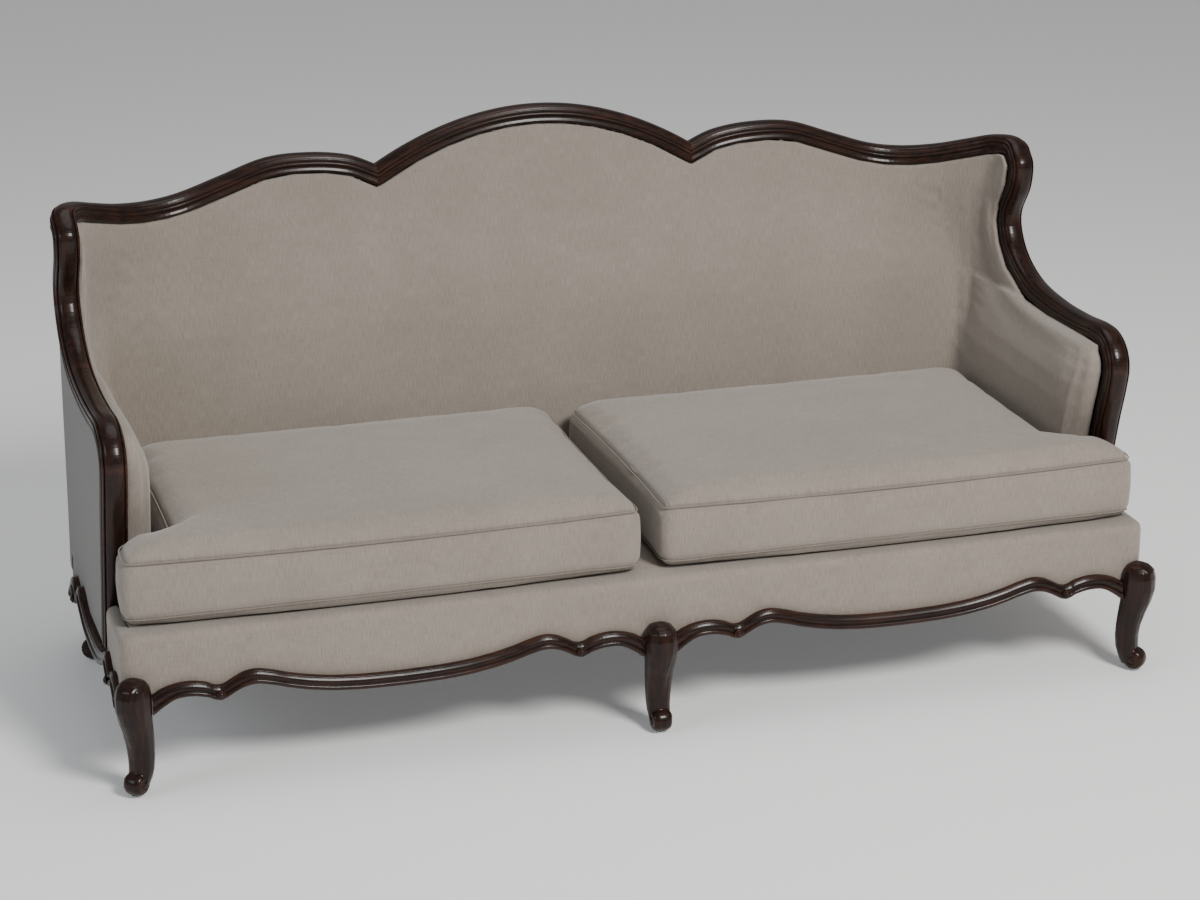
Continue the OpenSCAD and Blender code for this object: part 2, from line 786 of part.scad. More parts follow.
module corner_blocks() {
  color(frame_wood)
    for (m = [0, 1]) mirror([m, 0, 0]) {
      front_block_place() difference() {
        linear_extrude(height = block_h) block_outline();
        block_screws(screw_d + 2 * glue_gap, screw_len, block_side);
      }
      rear_block_place() difference() {
        linear_extrude(height = block_h) block_outline();
        block_screws(screw_d + 2 * glue_gap, screw_len, block_side);
      }
    }
}

module corner_screws() {
  color(steel_grey)
    for (m = [0, 1]) mirror([m, 0, 0]) {
      front_block_place() block_screws(screw_d, screw_len, screw_d / 2);
      rear_block_place() block_screws(screw_d, screw_len, screw_d / 2);
    }
}

// Front face of the inside back, a slope from the seat to the crest
back_low_set = 144;
back_high_set = 14;
back_low_y = crest_y - back_low_set;
back_high_y = crest_y - back_high_set;
function inside_y(z) = back_low_y + (back_high_y - back_low_y) * (z - seat_rail_top) / (crest_h - seat_rail_top);

// Short posts behind the arms stand on the side rails and meet the wing rails
back_post_w = 10;
back_post_t = 16;
neck = arm_points[3];
back_post_y = neck[1] + rail_t + 3 * soft_gap;
back_post_x = outside_x - over * 7 - back_post_w;
module back_post_piece() {
  color(frame_wood)
    translate([back_post_x, back_post_y, side_rail_top])
    cube([back_post_w, back_post_t, neck[2] + rail_t / 4 - side_rail_top]);
}

module back_post_right() { back_post_piece(); }
module back_post_left() { other_side() back_post_piece(); }

// Two uprights stand under the notches, and two lean in to the outer curves
upright_w = 44;
upright_t = 23;
upright_set = 5;
upright_front = rear_rail_y + upright_set;
upright_top = notch_point(0)[2];
corner_upright_x = wrap_x - upright_w / 2;
corner_upright_u = wrap_u - 0.2;
corner_way = heading(side_points, corner_upright_u);
corner_slope = abs(corner_way[2]) / norm([corner_way[0], corner_way[1]]);
corner_upright_top = side_point(corner_upright_u, 0, -under)[2] - over / 2 - corner_slope * upright_w / 2;
corner_upright_t = 16;
corner_upright_back = side_point(corner_upright_u, 0, 0)[1] + upright_t / 2 - 2 * over;
corner_upright_front = corner_upright_back - corner_upright_t;
module back_uprights() {
  color(frame_wood)
    for (m = [0, 1]) mirror([m, 0, 0]) {
      translate([valley_x - upright_w / 2, upright_front, seat_rail_top])
        cube([upright_w, upright_t, upright_top - seat_rail_top]);
      facing_side(corner_upright_x - upright_w / 2, upright_w) polygon([
        [upright_front, seat_rail_top],
        [upright_front + upright_t, seat_rail_top],
        [corner_upright_back, corner_upright_top],
        [corner_upright_front, corner_upright_top],
      ]);
    }
}

// Front plane of the back frame at x and z
function frame_y(x, z) =
  let (
    t = max(0, min(1, (abs(x) - valley_x - upright_w / 2) / (corner_upright_x - valley_x - upright_w))),
    at_corner = upright_front
      + (corner_upright_front - upright_front) * (z - seat_rail_top) / (corner_upright_top - seat_rail_top)
  )
  upright_front + (at_corner - upright_front) * t;

tuck_t = 24;
arm_tuck_t = 18;
tuck_h = 40;
tuck_z = seat_rail_top + tuck_h;
module back_tuck_rail() {
  color(frame_wood)
    translate([-corner_x, frame_y(corner_x, tuck_z + tuck_h) - tuck_t, tuck_z])
    cube([2 * corner_x, tuck_t, tuck_h]);
}

module arm_tuck_piece() {
  color(frame_wood)
    facing_side(outside_x - arm_tuck_t, arm_tuck_t) polygon([
      [stump_front_y(tuck_z) + stump_deep + over, tuck_z],
      [back_post_y, tuck_z],
      [back_post_y, tuck_z + tuck_h],
      [stump_front_y(tuck_z + tuck_h) + stump_deep + over, tuck_z + tuck_h],
    ]);
}

module arm_tuck_rail_right() { arm_tuck_piece(); }
module arm_tuck_rail_left() { other_side() arm_tuck_piece(); }

module frame_dowels() {
  color(frame_wood)
    for (m = [0, 1]) mirror([m, 0, 0]) {
      notch_dowels(dowel_d, dowel_len);
      rail_dowels(dowel_d, dowel_len);
      for (u = [ear_u, elbow_u, scroll_u]) joint_dowel(u, dowel_d, dowel_len);
    }
}

// Webbing: straps from front to back, and straps across them
web_z = seat_rail_top;
stump_back_y = stump_front_y(seat_rail_top) + stump_deep;
module seat_webbing() {
  first_x = 2 * web_w;
  pitch = (corner_x - web_w / 2 - over / 2 - first_x) / (web_count - 1);
  run = rear_rail_y + seat_rail_t - front_rail_y;
  cross_from = stump_back_y + over;
  cross_pitch = (back_post_y - over - web_w - cross_from) / (web_cross_count - 2);
  color(strap) {
    for (m = [0, 1]) mirror([m, 0, 0])
      for (i = [0:web_count - 1])
        translate([first_x - web_w / 2 + pitch * i, front_rail_y, web_z]) cube([web_w, run, web_t]);
    for (i = [0:web_cross_count - 1]) {
      half_w = i == 0 ? ear_rail_x + seat_rail_t : outside_x - over;
      y = i == 0 ? front_rail_y + post_depth + over : cross_from + cross_pitch * (i - 1);
      translate([-half_w, y, web_z + web_t]) cube([2 * half_w, web_w, web_t]);
    }
  }
}

back_web_count = 4;
module back_webbing() {
  from_z = tuck_z + tuck_h + web_w;
  to_z = corner_upright_top - 3 * web_w;
  end_x = corner_upright_x + upright_w / 2;
  color(strap)
    for (i = [0:back_web_count - 1]) {
      z = from_z + (to_z - from_z) * i / (back_web_count - 1);
      out_x = corner_upright_x - upright_w / 2;
      in_x = valley_x + upright_w / 2;
      front = [for (x = [-end_x, -out_x, -in_x, in_x, out_x, end_x]) [x, frame_y(x, z + web_w) - soft_gap]];
      translate([0, 0, z]) linear_extrude(height = web_w)
        polygon(concat(front, reversed([for (p = front) p - [0, web_t]])));
    }
}

deck_z = web_z + 2 * web_t;
deck_top = deck_z + deck_t;
border_top = deck_top;
ear_deck_x = ear_rail_x + seat_rail_t;
module seat_deck() {
  ear_y = stump_front_y(deck_top) - over;
  color(linen)
    translate([0, 0, deck_z]) linear_extrude(height = deck_t) polygon([
      [-ear_deck_x, front_rail_y + post_depth],
      [ear_deck_x, front_rail_y + post_depth],
      [ear_deck_x, ear_y],
      [stump_in_x - over / 2, ear_y],
      [stump_in_x - over / 2, side_rail_end_y],
      [corner_x, upright_front - over],
      [-corner_x, upright_front - over],
      [-stump_in_x + over / 2, side_rail_end_y],
      [-stump_in_x + over / 2, ear_y],
      [-ear_deck_x, ear_y],
    ]);
}

module dust_cover() {
  color(black_cloth)
    difference() {
      translate([0, 0, rail_bottom - web_t]) linear_extrude(height = web_t) polygon([
        [-front_post_x, front_rail_y],
        [front_post_x, front_rail_y],
        [ear_rail_x, stump_front_y(rail_bottom)],
        [side_rail_in_x, side_rail_end_y],
        [corner_x, rear_rail_y + seat_rail_t],
        [-corner_x, rear_rail_y + seat_rail_t],
        [-side_rail_in_x, side_rail_end_y],
        [-ear_rail_x, stump_front_y(rail_bottom)],
      ]);
      all_knee_rooms();
    }
}

// Padded border that wraps the front of the seat and ends at the stumps
border_front_y = apron_front_y + apron_t + over;
border_corner_r = 26;
border_side_end = stump_front_y(apron_low);
module border_plan(inset) {
  r = border_corner_r - inset;
  polygon(concat(
    [[-border_x + inset, border_side_end]],
    [for (i = [0:corner_steps])
      [-border_x + border_corner_r - r * cos(90 * i / corner_steps),
       border_front_y + border_corner_r - r * sin(90 * i / corner_steps)]],
    [for (i = [0:corner_steps])
      [border_x - border_corner_r + r * sin(90 * i / corner_steps),
       border_front_y + border_corner_r - r * cos(90 * i / corner_steps)]],
    [[border_x - inset, border_side_end]],
    [[border_in_x, border_side_end]],
    [[border_in_x, front_rail_y + post_depth - soft_gap]],
    [[-border_in_x, front_rail_y + post_depth - soft_gap]],
    [[-border_in_x, border_side_end]]
  ));
}

module front_border() {
  roll = over * 6;
  color(linen)
    difference() {
      union() {
        translate([0, 0, apron_low]) linear_extrude(height = border_top - roll - apron_low) border_plan(0);
        translate([0, 0, border_top - roll - over]) linear_extrude(height = roll / 2 + over) border_plan(roll / 6);
        translate([0, 0, border_top - roll]) linear_extrude(height = roll * 0.8) border_plan(roll / 2);
        translate([0, 0, border_top - roll]) linear_extrude(height = roll) border_plan(roll);
      }
      // Hollow for the front rail, the leg blocks and the ear rails
      translate([-border_in_x, front_rail_y - soft_gap, 0])
        cube([2 * border_in_x, depth, deck_z + soft_gap]);
      // The sides end at the leaning stumps
      facing_side(-side_x * 2, side_x * 4) polygon([
        [stump_front_y(apron_low) - over / 2, 0],
        [stump_front_y(border_top) - over / 2, border_top],
        [stump_front_y(border_top) - over / 2, border_top * 2],
        [crest_y, border_top * 2],
        [crest_y, 0],
      ]);
      // Room for the side mouldings
      for (m = [0, 1]) mirror([m, 0, 0])
        facing_side(side_apron_x - soft_gap, apron_t * 2)
          polygon(concat(
            [[front_y * 2, 0], [front_y * 2, apron_low + apron_rise * scallop_up_shares[0] + apron_h + soft_gap]],
            scallop_line(side_apron_from, side_apron_to, apron_h + soft_gap),
            [[side_apron_to, 0]]
          ));
      // Lower edge behind the front moulding
      for (m = [0, 1]) mirror([m, 0, 0])
        facing_front(front_y - post_w, depth)
          polygon(concat(
            [[0, 0], [0, apron_low + apron_h / 2]],
            scallop_line(front_apron_from, front_apron_to, apron_h / 2),
            [[side_x * 2, apron_low + apron_h / 2], [side_x * 2, 0]]
          ));
      all_knee_rooms();
    }
}

// Inside upholstery. Fabric meets the rail at this share of its half width.
fabric_share = 0.84;
back_end_u = 7.2;
wing_low = side_point(elbow_u, 0, -under)[2] + over / 2;
half_low = stump_in_x - arm_pad_t - over;
low_rows = 4;
high_rows = 6;
back_arch_cols = 10;
back_side_cols = 9;

// Head of each column of the inside back, left to right
back_heads = concat(
  [for (i = [0:back_side_cols - 1])
    let (p = side_point(back_end_u * (1 - i / back_side_cols), fabric_share, -tucked)) [-p[0], p[1], p[2]]],
  [for (i = [0:back_arch_cols]) arch_point(2 * i / back_arch_cols - 1, fabric_share, -tucked)],
  [for (i = [1:back_side_cols]) side_point(back_end_u * i / back_side_cols, fabric_share, -tucked)]
);
back_cols = len(back_heads) - 1;
half_high = back_heads[back_cols][0];

// Heights of the rows under a head
function row_z(head_z, j) =
  j < low_rows
    ? back_bottom + (wing_low - back_bottom) * j / low_rows
    : wing_low + (head_z - wing_low) * (j - low_rows) / high_rows;
back_bottom = deck_top + soft_gap;
function head_pull(head_z, z) = ease((z - wing_low) / (head_z - wing_low));

back_swell = 9;
function back_front(i, j) =
  let (
    head = back_heads[i],
    z = row_z(head[2], j),
    w = head_pull(head[2], z),
    across = head[0] / half_high,
    swell = back_swell * (1 - pow(abs(across), 6)) * (1 - pow(abs(2 * (z - back_bottom) / (head[2] - back_bottom) - 1), 4))
  )
  [head[0] * (1 - w) * half_low / half_high + head[0] * w, inside_y(z) * (1 - w) + head[1] * w - swell, z];

pad_deep = 120;
pad_thin = 8;
pad_least = 6;
function back_rear(i, j) =
  let (
    p = back_front(i, j),
    head = back_heads[i],
    low = 1 - (p[2] - back_bottom) / (head[2] - back_bottom),
    inner = 1 - ease((abs(head[0]) / half_high - 0.78) / 0.22),
    low_pitch = (wing_low - back_bottom) / low_rows,
    limit = frame_y(p[0], p[2]) - web_t - over - (p[2] < tuck_z + tuck_h + low_pitch ? tuck_t : 0)
  )
  [p[0], max(p[1] + pad_least, min(limit, p[1] + pad_thin + pad_deep * low * inner)), p[2]];

// Solid between two grids of points that share their rim
module grid_solid(front, back, cols, rows) {
  n = (cols + 1) * (rows + 1);
  r = rows + 1;
  rim = concat(
    [for (i = [0:cols]) i * r],
    [for (j = [1:rows]) cols * r + j],
    [for (i = [cols - 1:-1:0]) i * r + rows],
    [for (j = [rows - 1:-1:1]) j]
  );
  polyhedron(
    points = concat(front, back),
    faces = concat(
      [for (i = [0:cols - 1]) for (j = [0:rows - 1]) [i * r + j, i * r + j + 1, (i + 1) * r + j]],
      [for (i = [0:cols - 1]) for (j = [0:rows - 1]) [(i + 1) * r + j, i * r + j + 1, (i + 1) * r + j + 1]],
      [for (i = [0:cols - 1]) for (j = [0:rows - 1]) [n + i * r + j, n + (i + 1) * r + j, n + i * r + j + 1]],
      [for (i = [0:cols - 1]) for (j = [0:rows - 1])
        [n + (i + 1) * r + j, n + (i + 1) * r + j + 1, n + i * r + j + 1]],
      [for (k = [0:len(rim) - 1]) let (a = rim[k], b = rim[(k + 1) % len(rim)]) [a, b, n + a]],
      [for (k = [0:len(rim) - 1]) let (a = rim[k], b = rim[(k + 1) % len(rim)]) [b, n + b, n + a]]
    ),
    convexity = 6
  );
}

module inside_back() {
  rows = low_rows + high_rows;
  color(linen)
    grid_solid(
      [for (i = [0:back_cols]) for (j = [0:rows]) back_front(i, j)],
      [for (i = [0:back_cols]) for (j = [0:rows]) back_rear(i, j)],
      back_cols,
      rows
    );
}

// Inside wing: the padded return between the back and the wing rail. Its
// columns turn the corner, then run forward to the back edge of the rail.
wing_t = 6;
wing_x = stump_in_x - soft_gap - wing_t;
wing_turn = 85;
wing_us = [7.2, 7.7, 8.2, 8.7, 9.2, 9.6, 10, 11];
wing_turn_shares = [0, 0.33, 0.62, 0.83, 0.94, 0.98, 1, 1];
// The soft pieces lap this far along the inner side of the rail
lap = 7;
wing_back_shares = [0, 0.09, 0.29, 0.58, 1];
wing_run_shares = [0.31, 0.62, 1];
rail_back_table = [for (u = [elbow_u:-0.25:11]) let (p = side_point(u, 0, -under)) [p[2], p[1] + soft_gap]];
function wing_front(c, j) =
  let (
    head = side_point(wing_us[c], fabric_share, -under),
    z = row_z(head[2], j + low_rows),
    w = head_pull(head[2], z),
    low_x = half_low + over / 2 + (wing_x - half_low - over / 2) * wing_turn_shares[c],
    x = min(wing_x, low_x * (1 - w) + (head[0] + over / 2) * w)
  )
  c < len(wing_back_shares)
    ? [x, (inside_y(z) - wing_turn * wing_back_shares[c]) * (1 - w) + head[1] * w, z]
    : let (
        turn_end = wing_turn_end(z),
        edge = lookup(z, rail_back_table) - lap
      )
      [x, turn_end + (edge - turn_end) * wing_run_shares[c - len(wing_back_shares)], z];
function wing_turn_end(z) =
  let (c = len(wing_back_shares) - 1, head = side_point(wing_us[c], fabric_share, -under), w = head_pull(head[2], z))
  (inside_y(z) - wing_turn * wing_back_shares[c]) * (1 - w) + head[1] * w;
function wing_rear(c, j) =
  let (turn = 90 * min(1, wing_turn_shares[c]))
  wing_front(c, j) + [sin(turn), cos(turn), 0] * wing_t;

module inside_wing_piece() {
  cols = len(wing_us) - 1;
  color(linen)
    grid_solid(
      [for (c = [0:cols]) for (j = [0:high_rows]) wing_front(c, j)],
      [for (c = [0:cols]) for (j = [0:high_rows]) wing_rear(c, j)],
      cols,
      high_rows
    );
}

module inside_wing_right() { inside_wing_piece(); }
module inside_wing_left() { other_side() inside_wing_piece(); }

// Inside arm pad: a swelling panel between the seat, the stump, the arm rail and
// the back. Columns run from the stump to the back, rows from the seat up.
pad_col_shares = [0, 0.015, 0.05, 0.12, 0.4, 0.605, 0.8, 0.94, 1];
pad_mid_weights = [0, 0, 0, 0, 0.5, 0.75, 1];
pad_row_shares = [0, 0.25, 0.47, 0.62, 0.75, 0.85, 0.92, 0.97, 1];
pad_front_shares = [1, 1, 1, 1, 0.95, 0.8, 0.61, 0.35, 0];
pad_mid_shares = [1.05, 1.05, 1.02, 0.95, 0.77, 0.55, 0.39, 0.27, 0.18];
pad_rear_shares = [1.07, 1.07, 1.02, 0.85, 0.64, 0.52, 0.47, 0.45, 0.44];
pad_edge_x = stump_in_x - soft_gap - pad_thin * 0.75;
pad_in_x = half_low + over * 2.5;
stump_back_table = [for (u = [stump_u - 0.5:-0.25:21]) let (p = side_point(u, 0, -under)) [p[2], p[1] + soft_gap]];
arm_under_table = [for (u = [20.5:-0.25:elbow_u]) let (p = side_point(u, 0, -under)) [p[1], p[2] - soft_gap]];
pad_z = deck_top + soft_gap;
function pad_y(share, z) =
  let (a = lookup(z, stump_back_table), b = inside_y(z) + pad_thin)
  a + (b - a) * share;
function pad_point(c, j) =
  let (
    share = pad_col_shares[c],
    top = min(lookup(pad_y(share, arm_pad_top), arm_under_table) + lap, wing_low - over / 2),
    z = pad_z + (top - pad_z) * pad_row_shares[j],
    f = pad_front_shares[j],
    m = pad_mid_shares[j],
    body = c < len(pad_mid_weights) ? f + (m - f) * pad_mid_weights[c] : pad_rear_shares[j],
    part = c == 0 ? 0 : c == 1 ? 0.4 : c == 2 ? 0.85 : 1,
    x = pad_edge_x - (pad_edge_x - pad_in_x) * body * part
  )
  [c == len(pad_col_shares) - 1 ? half_low + over / 2 : x, pad_y(share, z), z];
function pad_outer(c, j) =
  let (p = pad_point(c, j), x = p[0] + pad_thin * 0.75)
  [c == len(pad_col_shares) - 1 ? x : max(stump_in_x - soft_gap, x), p[1], p[2]];
module inside_arm_piece() {
  cols = len(pad_col_shares) - 1;
  rows = len(pad_row_shares) - 1;
  color(linen)
    grid_solid(
      [for (c = [cols:-1:0]) for (j = [0:rows]) pad_point(c, j)],
      [for (c = [cols:-1:0]) for (j = [0:rows]) pad_outer(c, j)],
      cols,
      rows
    );
}

module inside_arm_right() { inside_arm_piece(); }
module inside_arm_left() { other_side() inside_arm_piece(); }

// The side of the sofa behind and under the rail's inner line, as back and up
function rail_line() = [for (u = [ear_u + 0.5:0.5:stump_u - 0.75])
  let (p = side_point(u, 0, -tucked)) [p[1] + over / 2, p[2] - soft_gap]];
module under_rail() {
  polygon(concat(
    rail_line(),
    [
      [stump_front_y(outside_low) + stump_deep + soft_gap, outside_low],
      [crest_y * 2, outside_low],
      [crest_y * 2, side_point(ear_u, 0, -tucked)[2] + rail_t],
      [side_point(ear_u + 0.5, 0, -tucked)[1] + over / 2, side_point(ear_u, 0, -tucked)[2] + rail_t],
    ]
  ));
}

// Outside arm: a flat covered board from the stump to the rear corner
module outside_arm_piece() {
  head = outside_head(0, 0);
  color(outer_linen)
    difference() {
      facing_side(outside_x, outside_t)
        intersection() {
          under_rail();
          polygon([
            [corner_from_y - over / 2, outside_low],
            [head[1] - over / 2, head[2] - 2 * over],
            [front_y, head[2] - 2 * over],
            [front_y, outside_low],
          ]);
        }
      all_knee_rooms();
    }
}

module outside_arm_right() { outside_arm_piece(); }
module outside_arm_left() { other_side() outside_arm_piece(); }

// Outside back: one covered board that wraps both rear corners
module outside_back() {
  function column(k, side) = [
    for (inner = [0, 1]) let (p = outside_foot(k, inner)) [side * p[0], p[1], outside_low],
    for (inner = [1, 0]) let (p = outside_head(k, inner)) [side * p[0], p[1], p[2]],
  ];
  middle = corner_steps + side_cols + arch_cols / 2;
  color(outer_linen)
    difference() {
      skin(concat(
        [for (k = [0:middle]) column(k, 1)],
        [for (k = [middle - 1:-1:0]) column(k, -1)]
      ));
      // Room for the neck of the wing rail
      facing_side(-side_x * 2, side_x * 4) polygon(concat(
        [[0, neck[2] - rail_t * 2]],
        [for (u = [15.5:-0.25:12.5]) let (p = side_point(u, 0, -tucked)) [p[1] + soft_gap, p[2]]],
        [[0, neck[2] + rail_t * 2]]
      ));
      all_knee_rooms();
    }
}

// Seat cushions. The outline runs at the seams, counter-clockwise from above.
cushion_bottom = deck_top + soft_gap;
seam_low = cushion_bottom + over * 1.5;
seam_high = seam_low + boxing_h;
cushion_in = (cushion_gap) / 2 + boxing_out;
cushion_out = side_x;
cushion_front = front_y + front_rail_set + 2.5 * over;
cushion_rear = inside_y(cushion_bottom) - boxing_out - over * 2;
ear_end = stump_front_y(seam_high) - boxing_out;
arm_side_x = stump_in_x - arm_pad_t - boxing_out - over / 2;
cushion_corners = [
  [cushion_in, cushion_front],
  [cushion_out, cushion_front],
  [cushion_out, ear_end],
  [stump_in_x - over * 4, ear_end + over],
  [arm_side_x, ear_end + arm_pad_t / 2],
  [arm_side_x, cushion_rear],
  [cushion_in, cushion_rear],
];
corner_rounds = [26, 26, 22, 10, 12, 40, 30];
edge_parts = [16, 3, 2, 2, 8, 14, 9];
round_parts = 3;

// Rounded, drawn-in outline of the cushion at a seam
function cushion_line() =
  let (n = len(cushion_corners))
  [for (k = [0:n - 1])
    let (
      a = cushion_corners[(k + n - 1) % n],
      b = cushion_corners[k],
      c = cushion_corners[(k + 1) % n],
      d = cushion_corners[(k + 2) % n],
      r = corner_rounds[k],
      r2 = corner_rounds[(k + 1) % n],
      p = b + unit(a - b) * r,
      q = b + unit(c - b) * r,
      q2 = c + unit(b - c) * r2,
      draw = k == 0 ? -front_bow : norm(c - b) > side_x / 3 ? side_draw : 0,
      inward = [-(c - b)[1], (c - b)[0]] / norm(c - b)
    )
    each concat(
      [for (i = [0:round_parts - 1]) let (t = i / round_parts) (1 - t) * (1 - t) * p + 2 * t * (1 - t) * b + t * t * q],
      [for (i = [0:edge_parts[k] - 1])
        let (t = i / edge_parts[k])
        q + (q2 - q) * t + inward * draw * 4 * t * (1 - t)]
    )];

cushion_heart = [side_x * 0.53, front_y + 0.262 * depth];
crown_mid_y = (cushion_front + cushion_rear) / 2;
crown_half_y = (cushion_rear - cushion_front) / 2;
function crown_at(p, share) =
  let (
    side = arm_side_x + (cushion_out - arm_side_x) * (1 - ease((p[1] - ear_end + arm_pad_t) / (2 * arm_pad_t))),
    across = abs(2 * (p[0] - cushion_in) / (side - cushion_in) - 1),
    back = abs(p[1] - crown_mid_y) / crown_half_y,
    roll = 1 - pow(share, 20)
  )
  crown_h * roll * (0.7 + 0.3 * (1 - pow(min(1, across), 2.4)) * (1 - pow(min(1, back), 2.4)));

// Point moved outward from the outline by an amount
function outward(line, k, amount) =
  let (n = len(line), t = line[(k + 1) % n] - line[(k + n - 1) % n])
  line[k] + [t[1], -t[0]] / norm(t) * amount;

boxing_up_shares = [0.14, 0.5, 0.86];
boxing_out_shares = [0.72, 1, 0.72];
top_in_shares = [0.975, 0.92, 0.8, 0.6, 0.35, 0.12];
module cushion_shape() {
  line = cushion_line();
  n = len(line);
  function shrunk(share) = [for (p = line) cushion_heart + (p - cushion_heart) * share];
  rings = concat(
    [[for (p = shrunk(0.94)) [p[0], p[1], cushion_bottom]]],
    [[for (p = line) [p[0], p[1], seam_low]]],
    [for (i = [0:2]) [for (k = [0:n - 1])
      let (q = outward(line, k, boxing_out * boxing_out_shares[i]))
      [q[0], q[1], seam_low + boxing_h * boxing_up_shares[i]]]],
    [[for (p = line) [p[0], p[1], seam_high]]],
    [for (share = top_in_shares) [for (p = shrunk(share)) [p[0], p[1], seam_high + crown_at(p, share)]]]
  );
  color(linen)
    difference() {
      skin(rings);
      core_outline(wrap_t, cushion_bottom + wrap_t / 2, seam_high - wrap_t / 2);
    }
}

module core_outline(inset, from_z, to_z) {
  translate([0, 0, from_z]) linear_extrude(height = to_z - from_z) polygon([
    [cushion_in + inset, cushion_front + inset],
    [cushion_out - inset, cushion_front + inset],
    [cushion_out - inset, ear_end - inset],
    [arm_side_x - inset, ear_end],
    [arm_side_x - inset, cushion_rear - inset],
    [cushion_in + inset, cushion_rear - inset],
  ]);
}

module cushion_core() {
  color(foam)
    core_outline(wrap_t + soft_gap, cushion_bottom + wrap_t / 2 + soft_gap, seam_high - wrap_t / 2 - soft_gap);
}

module cushion_cover_right() { cushion_shape(); }
module cushion_cover_left() { other_side() cushion_shape(); }
module cushion_core_right() { cushion_core(); }
module cushion_core_left() { other_side() cushion_core(); }

crest_rail_centre();
crest_rail_left();
crest_rail_right();
wing_rail_left();
wing_rail_right();
arm_rail_left();
arm_rail_right();
arm_stump_left();
arm_stump_right();
front_apron_left();
front_apron_right();
side_apron_left();
side_apron_right();
apron_bosses();
front_leg_left();
front_leg_centre();
front_leg_right();
rear_leg_left();
rear_leg_right();
foot_glides();
front_rail_left();
front_rail_right();
ear_rail_left();
ear_rail_right();
side_rail_left();
side_rail_right();
rear_rail();
rear_corner_left();
rear_corner_right();
seat_stretchers();
corner_blocks();
corner_screws();
back_post_left();
back_post_right();
back_uprights();
back_tuck_rail();
arm_tuck_rail_left();
arm_tuck_rail_right();
frame_dowels();
seat_webbing();
back_webbing();
seat_deck();
dust_cover();
front_border();
inside_back();
inside_wing_left();
inside_wing_right();
inside_arm_left();
inside_arm_right();
outside_back();
outside_arm_left();
outside_arm_right();
cushion_cover_left();
cushion_cover_right();
cushion_core_left();
cushion_core_right();
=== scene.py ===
"""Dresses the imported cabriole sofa: carved show wood, woven linen, filled cushions and a pale studio."""

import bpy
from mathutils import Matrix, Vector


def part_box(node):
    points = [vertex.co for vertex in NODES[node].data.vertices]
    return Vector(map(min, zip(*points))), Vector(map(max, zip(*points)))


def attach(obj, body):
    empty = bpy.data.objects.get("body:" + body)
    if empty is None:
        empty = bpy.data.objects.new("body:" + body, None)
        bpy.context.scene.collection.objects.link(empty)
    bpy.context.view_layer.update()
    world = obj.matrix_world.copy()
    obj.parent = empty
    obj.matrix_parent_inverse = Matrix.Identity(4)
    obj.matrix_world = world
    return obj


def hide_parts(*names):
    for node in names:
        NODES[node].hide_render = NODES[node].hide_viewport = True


bl_info = {
    "name": "Cabriole sofa",
    "version": (1, 0, 0),
    "blender": (4, 5, 0),
    "location": "View3D > Sidebar > Sofa",
    "description": "Builds the looks of a cabriole sofa on its packed frame",
    "category": "Object",
}

import math

import bmesh
import bpy
from bpy.props import FloatProperty, FloatVectorProperty, IntProperty, PointerProperty
from mathutils import Matrix, Vector, noise
from mathutils.bvhtree import BVHTree
from mathutils.kdtree import KDTree

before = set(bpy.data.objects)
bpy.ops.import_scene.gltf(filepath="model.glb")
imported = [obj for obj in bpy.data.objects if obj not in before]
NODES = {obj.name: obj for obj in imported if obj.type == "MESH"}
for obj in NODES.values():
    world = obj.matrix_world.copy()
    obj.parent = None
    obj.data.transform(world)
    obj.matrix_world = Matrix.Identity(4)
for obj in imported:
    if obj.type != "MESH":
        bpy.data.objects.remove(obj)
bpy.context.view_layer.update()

SIDES = {"right": 1.0, "left": -1.0}
FRAME = "frame"

# The sofa's main sizes, in metres, as in the part's source
FRONT_Y = -0.415
CREST_Y = 0.425
DEPTH = CREST_Y - FRONT_Y
SIDE_X = 1.0
ARM_X = 0.991
ARM_H = 0.662
EAR_H = 0.942
CREST_H = 1.037
VALLEY_X = 0.335
VALLEY_DROP = 0.102
RAIL_W = 0.050
RAIL_T = 0.038
KNEE_H = 0.226
KNEE_R = 0.032
FOOT_HALF_W = 0.018
SCROLL_R = 0.022
GLIDE_T = 0.003
APRON_LOW = 0.155
APRON_RISE = 0.037
APRON_H = 0.026
APRON_T = 0.018
APRON_TOE = 0.010
BORDER_CORNER_R = 0.026

# Sizes of the finish
BOSS_R = 0.0066
VOLUTE_CORD = 0.0012
VOLUTE_TURNS = 1.5
VOLUTE_STEPS = 40
MOULDING_STEPS = 150
SEAM_STEP = 0.006
FILL_FRAMES = 20
LOWER_SEAM = 0.003
UPPER_SEAM = 0.128
TONGUE_H = 0.0022
PAD_CELL = 0.0064
BORDER_CELL = 0.0035
TUCK = 0.007
FLAT = math.radians(0.4)

# The camera that was fitted to the photograph: pixels, metres and degrees
SENSOR_W = 36
PHOTO_W = 1200
FOCAL_PX = 3102.2
CAMERA_AT = (-1.7148, -5.5584, 2.4149)
CAMERA_DOWN = 18.862
CAMERA_ROUND = 17.238

# Places and headings of the legs
LEGS = {
    "front_leg_right": (SIDE_X, FRONT_Y, -45),
    "front_leg_left": (-SIDE_X, FRONT_Y, -135),
    "front_leg_centre": (0.0, FRONT_Y - 0.010, -90),
    "rear_leg_right": (SIDE_X - 0.021, FRONT_Y + 0.672, 45),
    "rear_leg_left": (-SIDE_X + 0.021, FRONT_Y + 0.672, 135),
}

